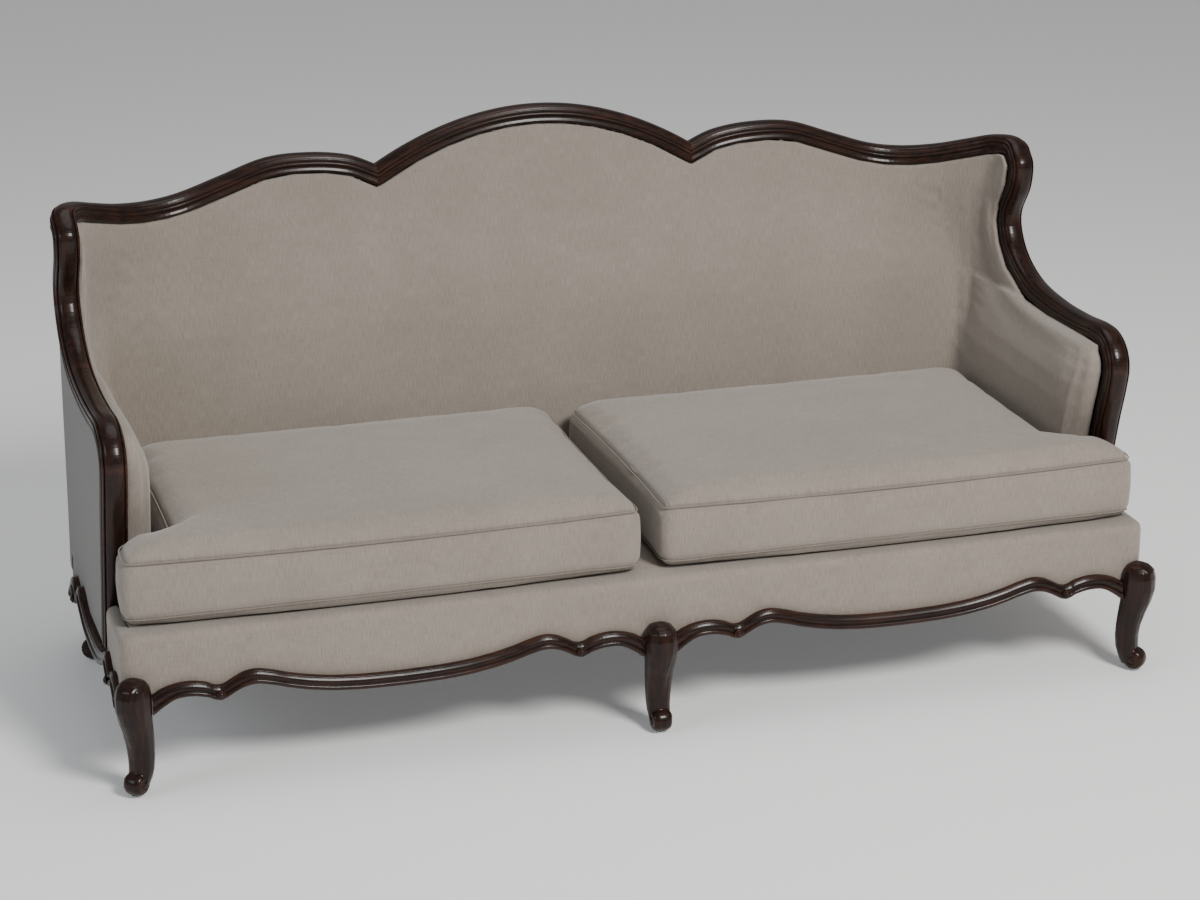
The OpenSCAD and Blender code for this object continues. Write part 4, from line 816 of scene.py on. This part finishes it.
def scallop(share):
    """Height of the moulding's lower edge at a share of its length, in its rise"""
    share = min(share, 1 - share)
    points = [Vector((a, u, 0)) for a, u in zip(SCALLOP_ALONG, SCALLOP_UP)]
    for i in range(len(points) - 1):
        if share <= points[i + 1].x:
            t = (share - points[i].x) / (points[i + 1].x - points[i].x)
            return along(points, i + t).y
    return SCALLOP_UP[-1]


def moulding_places(low, high, face, turned):
    """Places of the moulding's section from low to high, standing out from face"""
    places = []
    for i in range(MOULDING_STEPS + 1):
        share = i / MOULDING_STEPS
        at = low + (high - low) * share
        end = min(share, 1 - share)
        base = APRON_LOW + APRON_RISE * scallop(share)
        foot = base - APRON_TOE * (1 - ease(end / 0.055))
        up = Vector((0, 0, base + APRON_H - foot))
        if turned:
            places.append(place_at(Vector((face, at, foot)), up, Vector((APRON_T, 0, 0))))
        else:
            places.append(place_at(Vector((at, face + APRON_T, foot)), up, Vector((0, -APRON_T, 0))))
    return places


def boss(place):
    """Small turned boss with a ring round it"""
    bm = bmesh.new()
    bmesh.ops.create_uvsphere(bm, u_segments=28, v_segments=16, radius=BOSS_R)
    bmesh.ops.scale(bm, vec=(1, 1, 0.78), verts=bm.verts)
    ring = bmesh.ops.create_circle(bm, cap_ends=False, segments=8, radius=0.0012)["verts"]
    bmesh.ops.transform(
        bm, matrix=Matrix.Translation((0.0074, 0, 0.0008)) @ Matrix.Rotation(math.pi / 2, 4, "X"),
        verts=ring,
    )
    bmesh.ops.spin(
        bm, geom=ring + list({e for v in ring for e in v.link_edges}), cent=(0, 0, 0), axis=(0, 0, 1),
        angle=math.tau, steps=32, use_merge=True,
    )
    bmesh.ops.transform(bm, matrix=place, verts=bm.verts)
    return bm


class SOFA_OT_scalloped_mouldings(bpy.types.Operator):
    """Runs the scalloped mouldings between the legs, with a boss at each cusp"""

    bl_idname = "sofa.scalloped_mouldings"
    bl_label = "Scalloped mouldings"

    def execute(self, context):
        front = (KNEE_R * 0.98 + 0.001, SIDE_X - KNEE_R * 1.2)
        side = (FRONT_Y + KNEE_R * 1.55, LEGS["rear_leg_right"][1] - KNEE_R * 1.35)
        front_face = FRONT_Y - APRON_T / 4
        side_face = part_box("side_apron_right")[0].x
        boss_z = APRON_LOW + APRON_RISE * BOSS_UP
        bosses = bmesh.new()
        for name, sign in SIDES.items():
            for part, (low, high), face, turned in (
                ("front_apron", front, front_face, False), ("side_apron", side, side_face, True),
            ):
                bm = swept(MOULDING, moulding_places(low, high, face, turned))
                if sign < 0:
                    mirrored(bm)
                finished(
                    f"{part}_{name}_moulded", bm, wood("show", "y" if turned else "x"),
                    [f"{part}_{name}"], smooth_below=50,
                )
            for share in BOSS_ALONG:
                x = sign * (front[0] + (front[1] - front[0]) * share)
                y = side[0] + (side[1] - side[0]) * share
                for place in (
                    Matrix.Translation(
                        (x, front_face - 0.0006, boss_z)
                    ) @ Matrix.Rotation(math.pi / 2, 4, "X"),
                    Matrix.Translation(
                        (sign * (side_face + APRON_T + 0.0006), y, boss_z)
                    ) @ Matrix.Rotation(sign * math.pi / 2, 4, "Y"),
                ):
                    one = as_mesh(boss(place))
                    bosses.from_mesh(one)
                    bpy.data.meshes.remove(one)
        finished("round_bosses", bosses, wood("show", "x"), ["apron_bosses"], smooth_below=180)
        return {"FINISHED"}


def filled(mesh, cap):
    """Cover pushed out by its filling, no point further than cap"""
    scene = bpy.context.scene
    temp = bpy.data.objects.new("cover", mesh)
    scene.collection.objects.link(temp)
    rest = [v.co.copy() for v in mesh.vertices]
    cloth = temp.modifiers.new("Fill", "CLOTH")
    settings = cloth.settings
    settings.quality = 4
    settings.use_pressure = True
    settings.uniform_pressure_force = 4
    settings.effector_weights.gravity = 0
    settings.tension_stiffness = 12
    settings.compression_stiffness = 12
    settings.shear_stiffness = 6
    settings.bending_stiffness = 0.6
    cloth.point_cache.frame_start = 1
    cloth.point_cache.frame_end = FILL_FRAMES
    for number in range(1, FILL_FRAMES + 1):
        scene.frame_set(number)
    moved = temp.evaluated_get(bpy.context.evaluated_depsgraph_get()).data
    places = [v.co.copy() for v in moved.vertices]
    temp.modifiers.remove(cloth)
    scene.frame_set(1)
    for v, was, now in zip(mesh.vertices, rest, places):
        way = now - was
        if way.length > cap:
            way *= cap / way.length
        v.co = was + way
    bpy.data.objects.remove(temp)
    return mesh


def held_inside(mesh, tree, proud):
    """Moves back each point that stands further out of the CAD solid than proud allows"""
    for v in mesh.vertices:
        near, normal, _, _ = tree.find_nearest(v.co)
        stands = (v.co - near).dot(normal)
        most = proud(v.co, normal)
        if stands > most:
            v.co = near + normal * most
    return mesh


def seam_outline(source, height):
    """Outline of the cover's mesh at a seam, in order round it"""
    points = [v.co.copy() for v in source.verts if abs(v.co.z - height) < 0.0004]
    heart = Vector((0.53 * SIDE_X, FRONT_Y + 0.262 * DEPTH, height))
    points.sort(key=lambda p: math.atan2(p.y - heart.y, p.x - heart.x))
    dense = []
    for a, b in zip(points, points[1:] + points[:1]):
        parts = max(1, int((b - a).length / SEAM_STEP))
        dense += [a.lerp(b, i / parts) for i in range(parts)]
    return dense


def smooth_line(points, rounds):
    """A closed line of points, smoothed a number of times"""
    for _ in range(rounds):
        points = [(points[i - 1] + 2 * p + points[(i + 1) % len(points)]) / 4 for i, p in enumerate(points)]
    return points


class SOFA_OT_seat_cushions(bpy.types.Operator):
    """Fills the two T-shaped seat cushions and sews their welts"""

    bl_idname = "sofa.seat_cushions"
    bl_label = "Seat cushions"

    def execute(self, context):
        s = context.scene.sofa
        source = node_copy("cushion_cover_right")
        outer = self.outer_shell(source)
        heights = sorted({round(v.co.z, 4) for v in outer.verts})
        low, high = self.seams(heights)
        tree = BVHTree.FromBMesh(outer)
        lines = {z: seam_outline(outer, z) for z in (low, high)}
        lift = self.seam_heights(s.seam_lift)
        lines[low] = [p + Vector((0, 0, lift(p.x))) for p in lines[low]]
        shell = as_mesh(outer)
        voxel = s.cushion_voxel * 1
        mesh = worked(shell, ("REMESH", {"mode": "VOXEL", "voxel_size": voxel}))
        pressed(mesh, lambda place, normal: 0.003)
        mesh = filled(mesh, s.fill_cap)
        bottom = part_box("cushion_cover_right")[0].z
        ear_y = FRONT_Y + 0.14

        def proud(p, normal):
            if normal.z > 0.55:
                return 0.004
            return 0.003 if p.y < ear_y else 0.0004

        mesh = held_inside(mesh, tree, proud)
        mesh = worked(
            mesh, ("SMOOTH", {"factor": 0.5, "iterations": 3}),
            ("SUBSURF", {"levels": 1, "render_levels": 1}),
        )
        rings = {}
        for z, line in lines.items():
            skin = BVHTree.FromPolygons([v.co for v in mesh.vertices], [p.vertices for p in mesh.polygons])
            rings[z] = smooth_line([skin.find_nearest(p)[0] for p in line], 3)
        self.draw_in(mesh, rings, s.seam_pull)
        self.tucked_under(mesh, low, lift)
        for name, sign in SIDES.items():
            body = "seat_cushion_" + name
            cover = mesh.copy()
            welts = tube([rings[low], rings[high]], s.welt_radius, closed=True)
            for data in (cover, welts):
                if sign < 0:
                    flipped = bmesh.new()
                    flipped.from_mesh(data)
                    mirrored(flipped)
                    flipped.to_mesh(data)
                    flipped.free()
            self.lived_in(cover, sign, bottom)
            piece = finished(
                f"cushion_{name}", cover, linen("linen"), [f"cushion_cover_{name}"], body, 180,
            )
            finished(f"cushion_{name}_welts", welts, linen("welt"), (), body, 180)
            core = edges_rounded(node_copy(f"cushion_core_{name}"), 0.6, 0.004)
            block = finished(
                f"cushion_{name}_foam", core, open_foam(), [f"cushion_core_{name}"], body,
            )
        return {"FINISHED"}

    def outer_shell(self, source):
        """The cover without the hollow that holds its foam"""
        seen, islands = set(), []
        for v in source.verts:
            if v in seen:
                continue
            stack, island = [v], []
            seen.add(v)
            while stack:
                a = stack.pop()
                island.append(a)
                for e in a.link_edges:
                    b = e.other_vert(a)
                    if b not in seen:
                        seen.add(b)
                        stack.append(b)
            islands.append(island)
        islands.sort(key=len)
        for island in islands[:-1]:
            bmesh.ops.delete(source, geom=island, context="VERTS")
        bmesh.ops.recalc_face_normals(source, faces=source.faces)
        return source

    def seams(self, heights):
        """Heights of the lower and the upper seam"""
        return min(
            heights, key=lambda z: abs(z - (heights[0] + LOWER_SEAM)),
        ), min(heights, key=lambda z: abs(z - (heights[0] + UPPER_SEAM)))

    def draw_in(self, mesh, rings, pull):
        """Draws the cover in beside its seams"""
        points = [p for ring in rings.values() for p in ring]
        near = KDTree(len(points))
        for i, p in enumerate(points):
            near.insert(p, i)
        near.balance()
        pressed(mesh, lambda place, normal: pull * (1 - ease(near.find(place)[2] / 0.014)))

    def seam_heights(self, mean):
        """How far over the cushion's base the lower seam runs at x: most in the middle of its front"""
        low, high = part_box("cushion_cover_right")
        middle, half = (low.x + high.x) / 2, (high.x - low.x) / 2
        return lambda x: mean * (1.5 - 0.8 * ((x - middle) / half) ** 2)

    def tucked_under(self, mesh, bottom, lift):
        """Draws the cover in below its lower seam, where it turns under the foam"""
        normals = [v.normal.copy() for v in mesh.vertices]
        for v, n in zip(mesh.vertices, normals):
            seam = lift(v.co.x)
            share = ease((bottom + seam - v.co.z) / seam)
            v.co -= Vector((n.x, n.y, 0)) * TUCK * share

    def lived_in(self, mesh, sign, bottom):
        """Adds the shallow dips of a cushion that has been sat on"""

        def dip(place, normal):
            if normal.z < 0.3 and place.y > FRONT_Y + 0.03:
                return 0.0
            wide = noise.noise(Vector((place.x * 5 + 9 * sign, place.y * 6, place.z * 5)))
            fine = noise.noise(Vector((place.x * 17 + 3 * sign, place.y * 15, place.z * 21)))
            return max(0.0, 0.0016 + 0.0016 * wide + 0.0006 * fine)

        pressed(mesh, dip)
        for v in mesh.vertices:
            v.co.z = max(v.co.z, bottom)


class SOFA_OT_padded_upholstery(bpy.types.Operator):
    """Upholsters the inside back, wings, arms, deck and front border"""

    bl_idname = "sofa.padded_upholstery"
    bl_label = "Padded upholstery"

    def execute(self, context):
        inside = (
            "inside_back", "inside_wing_left", "inside_wing_right", "inside_arm_left", "inside_arm_right",
        )
        skin, pads = bmesh.new(), bmesh.new()
        for node in inside:
            part = as_mesh(node_copy(node))
            pads.from_mesh(part)
            pressed(part, self.thickened)
            skin.from_mesh(part)
            bpy.data.meshes.remove(part)
        solid = BVHTree.FromBMesh(pads)
        pads.free()
        voxel = PAD_CELL * 1
        cover = worked(
            as_mesh(skin),
            ("REMESH", {"mode": "VOXEL", "voxel_size": voxel}),
            ("SMOOTH", {"factor": 0.5, "iterations": 4}),
        )
        held_inside(cover, solid, lambda place, normal: 0.0003)
        self.rolled_edges(cover, context.scene.sofa.edge_roll)
        finished("inside_cover", cover, linen("linen"), inside, smooth_below=180)
        voxel = BORDER_CELL * 1
        border = worked(
            self.plugged_border(),
            ("REMESH", {"mode": "VOXEL", "voxel_size": voxel}),
            ("SMOOTH", {"factor": 0.5, "iterations": 8}),
        )
        finished(
                "front_border_cover", border, linen("linen"), ["front_border"], smooth_below=180,
            )
        deck = edges_rounded(node_copy("seat_deck"), 0.8, 0.0025)
        finished("deck_cover", deck, linen("linen"), ["seat_deck"], smooth_below=60)
        return {"FINISHED"}

    def thickened(self, place, normal):
        """How far a pad's mesh goes in before its joins are closed: it grows, most on its hidden sides"""
        side = math.copysign(1, place.x)
        hidden = normal.y > 0.4 or normal.x * side > 0.4
        return -0.007 if hidden else -0.003

    def rolled_edges(self, mesh, height):
        """Raises the firm roll that runs along the rail inside the wings and arms"""
        count = 220
        first, last = EAR_U + 1.5, SCROLL_U + 3
        near = KDTree(count)
        for i in range(count):
            near.insert(along(SIDE_LINE, first + (last - first) * i / (count - 1)), i)
        near.balance()

        def roll(place, normal):
            side = math.copysign(1, place.x)
            if -normal.x * side - 0.5 * normal.y < 0.3:
                return 0.0
            _, i, far = near.find(Vector((abs(place.x), place.y, place.z)))
            fade = min(1.0, i / 30, (count - 1 - i) / 20)
            crown = 1 - ease(abs(far - 0.060) / 0.024)
            dip = 1 - ease(abs(far - 0.098) / 0.026)
            return -height * fade * (crown - 0.35 * dip)

        pressed(mesh, roll)

    def plugged_border(self):
        """The border's mesh with the room over each knee closed, as its cloth is tight round the legs"""
        low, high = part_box("front_border")
        bm = node_copy("front_border")
        floor_z, top_z, deep = KNEE_H - 0.042, KNEE_H + 0.014, 0.050
        for left, right, rounded in (
            (high.x - deep, high.x - 0.0004, 1), (low.x + 0.0004, low.x + deep, -1), (-0.040, 0.040, 0),
        ):
            made = bmesh.ops.create_cube(bm, size=1)["verts"]
            size = Vector((right - left, deep, top_z - floor_z))
            heart = Vector(((left + right) / 2, low.y + 0.0004 + deep / 2, (floor_z + top_z) / 2))
            bmesh.ops.transform(
                bm, matrix=Matrix.Translation(heart) @ Matrix.Diagonal((*size, 1)), verts=made,
            )
            if rounded:
                edges = {e for v in made for e in v.link_edges}
                upright = [
                    e for e in edges
                    if all(v.co.y < heart.y and (v.co.x - heart.x) * rounded > 0 for v in e.verts)
                ]
                bmesh.ops.bevel(
                    bm, geom=upright, offset=BORDER_CORNER_R, offset_type="OFFSET", affect="EDGES",
                    segments=6, profile=0.5, material=-1,
                )
        return as_mesh(bm)


class SOFA_OT_outside_panels(bpy.types.Operator):
    """Covers the outside back and arms"""

    bl_idname = "sofa.outside_panels"
    bl_label = "Outside panels"

    def execute(self, context):
        for node in ("outside_back", "outside_arm_left", "outside_arm_right"):
            bm = flat_joined(node)
            finished(node + "_cover", bm, linen("outside"), [node], smooth_below=40)
        return {"FINISHED"}


class SOFA_OT_webbing_and_dust_cover(bpy.types.Operator):
    """Stretches the webbing under the deck and behind the back, and the dust cover below"""

    bl_idname = "sofa.webbing_and_dust_cover"
    bl_label = "Webbing and dust cover"

    def execute(self, context):
        for node in ("seat_webbing", "back_webbing"):
            bm = flat_joined(node)
            finished(node + "_straps", bm, linen("webbing"), [node])
        bm = flat_joined("dust_cover")
        area = sum(f.calc_area() for f in bm.faces if f.normal.z > 0.7)
        cloth = finished("dust_cloth", bm, linen("dust_cloth"), ["dust_cover"])
        return {"FINISHED"}


class SOFA_OT_hidden_frame(bpy.types.Operator):
    """Gives the rails, posts, blocks and fixings inside the sofa their wood and steel"""

    bl_idname = "sofa.hidden_frame"
    bl_label = "Hidden frame"

    def execute(self, context):
        upright = ("back_post", "back_uprights", "corner_blocks")
        deep = ("side_rail", "ear_rail", "arm_tuck_rail", "seat_stretchers")
        for name, node in NODES.items():
            if node.hide_render:
                continue
            way = "z" if name.startswith(upright) else "y" if name.startswith(deep) else "x"
            finish = brushed_steel() if name == "corner_screws" else wood("frame", way)
            node.data.materials.clear()
            node.data.materials.append(finish)
        return {"FINISHED"}


class SOFA_OT_studio(bpy.types.Operator):
    """Sets the pale floor, the soft lights and the camera"""

    bl_idname = "sofa.studio"
    bl_label = "Studio"

    def execute(self, context):
        scene = context.scene
        bm = bmesh.new()
        bmesh.ops.create_grid(bm, x_segments=2, y_segments=2, size=14)
        floor = bpy.data.objects.new("studio_floor", as_mesh(bm, "studio_floor"))
        scene.collection.objects.link(floor)
        pale = bpy.data.materials.new("pale_floor")
        pale.use_nodes = True
        shader = pale.node_tree.nodes["Principled BSDF"]
        shader.inputs["Base Color"].default_value = solid_colour(scene.sofa.floor)
        shader.inputs["Roughness"].default_value = 0.9
        shader.inputs["Specular IOR Level"].default_value = 0.1
        shader.inputs["Emission Color"].default_value = (1, 1, 1, 1)
        shader.inputs["Emission Strength"].default_value = 0.12
        floor.data.materials.append(pale)
        world = bpy.data.worlds.new("white_room")
        world.use_nodes = True
        world.node_tree.nodes["Background"].inputs["Color"].default_value = (1, 1, 1, 1)
        world.node_tree.nodes["Background"].inputs["Strength"].default_value = 0.24
        scene.world = world
        self.soft_light("key_light", (1.6, -4.8, 4.7), (0, 0, 0.5), 1.9, 390, (1.0, 0.985, 0.96))
        self.soft_light("side_light", (-4.2, -1.4, 2.2), (-0.8, 0, 0.5), 1.6, 32, (0.80, 0.90, 1.0))
        self.soft_light("top_light", (0.2, 0.6, 4.2), (0, 0, 0.4), 3.0, 40, (1.0, 1.0, 1.0))
        data = bpy.data.cameras.new("camera")
        data.sensor_width = SENSOR_W
        data.lens = SENSOR_W * FOCAL_PX / PHOTO_W
        data.clip_end = 100
        camera = bpy.data.objects.new("camera", data)
        scene.collection.objects.link(camera)
        camera.location = CAMERA_AT
        camera.rotation_euler = (math.radians(90 - CAMERA_DOWN), 0, math.radians(-CAMERA_ROUND))
        scene.camera = camera
        return {"FINISHED"}

    def soft_light(self, name, place, target, size, power, tint):
        """Round area light that looks at a target"""
        data = bpy.data.lights.new(name, "AREA")
        data.shape = "DISK"
        data.size = size
        data.energy = power
        data.color = tint
        light = bpy.data.objects.new(name, data)
        bpy.context.scene.collection.objects.link(light)
        light.location = place
        light.rotation_euler = (Vector(target) - Vector(place)).to_track_quat("-Z", "Y").to_euler()


class SOFA_PT_build(bpy.types.Panel):
    """Lists the steps that build the sofa's looks"""

    bl_idname = "SOFA_PT_build"
    bl_label = "Cabriole sofa"
    bl_space_type = "VIEW_3D"
    bl_region_type = "UI"
    bl_category = "Sofa"

    def draw(self, context):
        settings = context.scene.sofa
        for key in settings.bl_rna.properties.keys():
            if key not in ("rna_type", "name"):
                self.layout.prop(settings, key)
        for operator in OPERATORS:
            self.layout.operator(operator.bl_idname)


OPERATORS = (
    SOFA_OT_show_wood_rails,
    SOFA_OT_carved_legs,
    SOFA_OT_scalloped_mouldings,
    SOFA_OT_seat_cushions,
    SOFA_OT_padded_upholstery,
    SOFA_OT_outside_panels,
    SOFA_OT_webbing_and_dust_cover,
    SOFA_OT_hidden_frame,
    SOFA_OT_studio,
)
CLASSES = (SofaSettings, *OPERATORS, SOFA_PT_build)


def register():
    for cls in CLASSES:
        bpy.utils.register_class(cls)
    bpy.types.Scene.sofa = PointerProperty(type=SofaSettings)


def unregister():
    del bpy.types.Scene.sofa
    for cls in reversed(CLASSES):
        bpy.utils.unregister_class(cls)


def main():
    register()
    bpy.ops.sofa.show_wood_rails()
    bpy.ops.sofa.carved_legs()
    bpy.ops.sofa.scalloped_mouldings()
    bpy.ops.sofa.seat_cushions()
    bpy.ops.sofa.padded_upholstery()
    bpy.ops.sofa.outside_panels()
    bpy.ops.sofa.webbing_and_dust_cover()
    bpy.ops.sofa.hidden_frame()
    bpy.ops.sofa.studio()


if __name__ == "__main__":
    main()
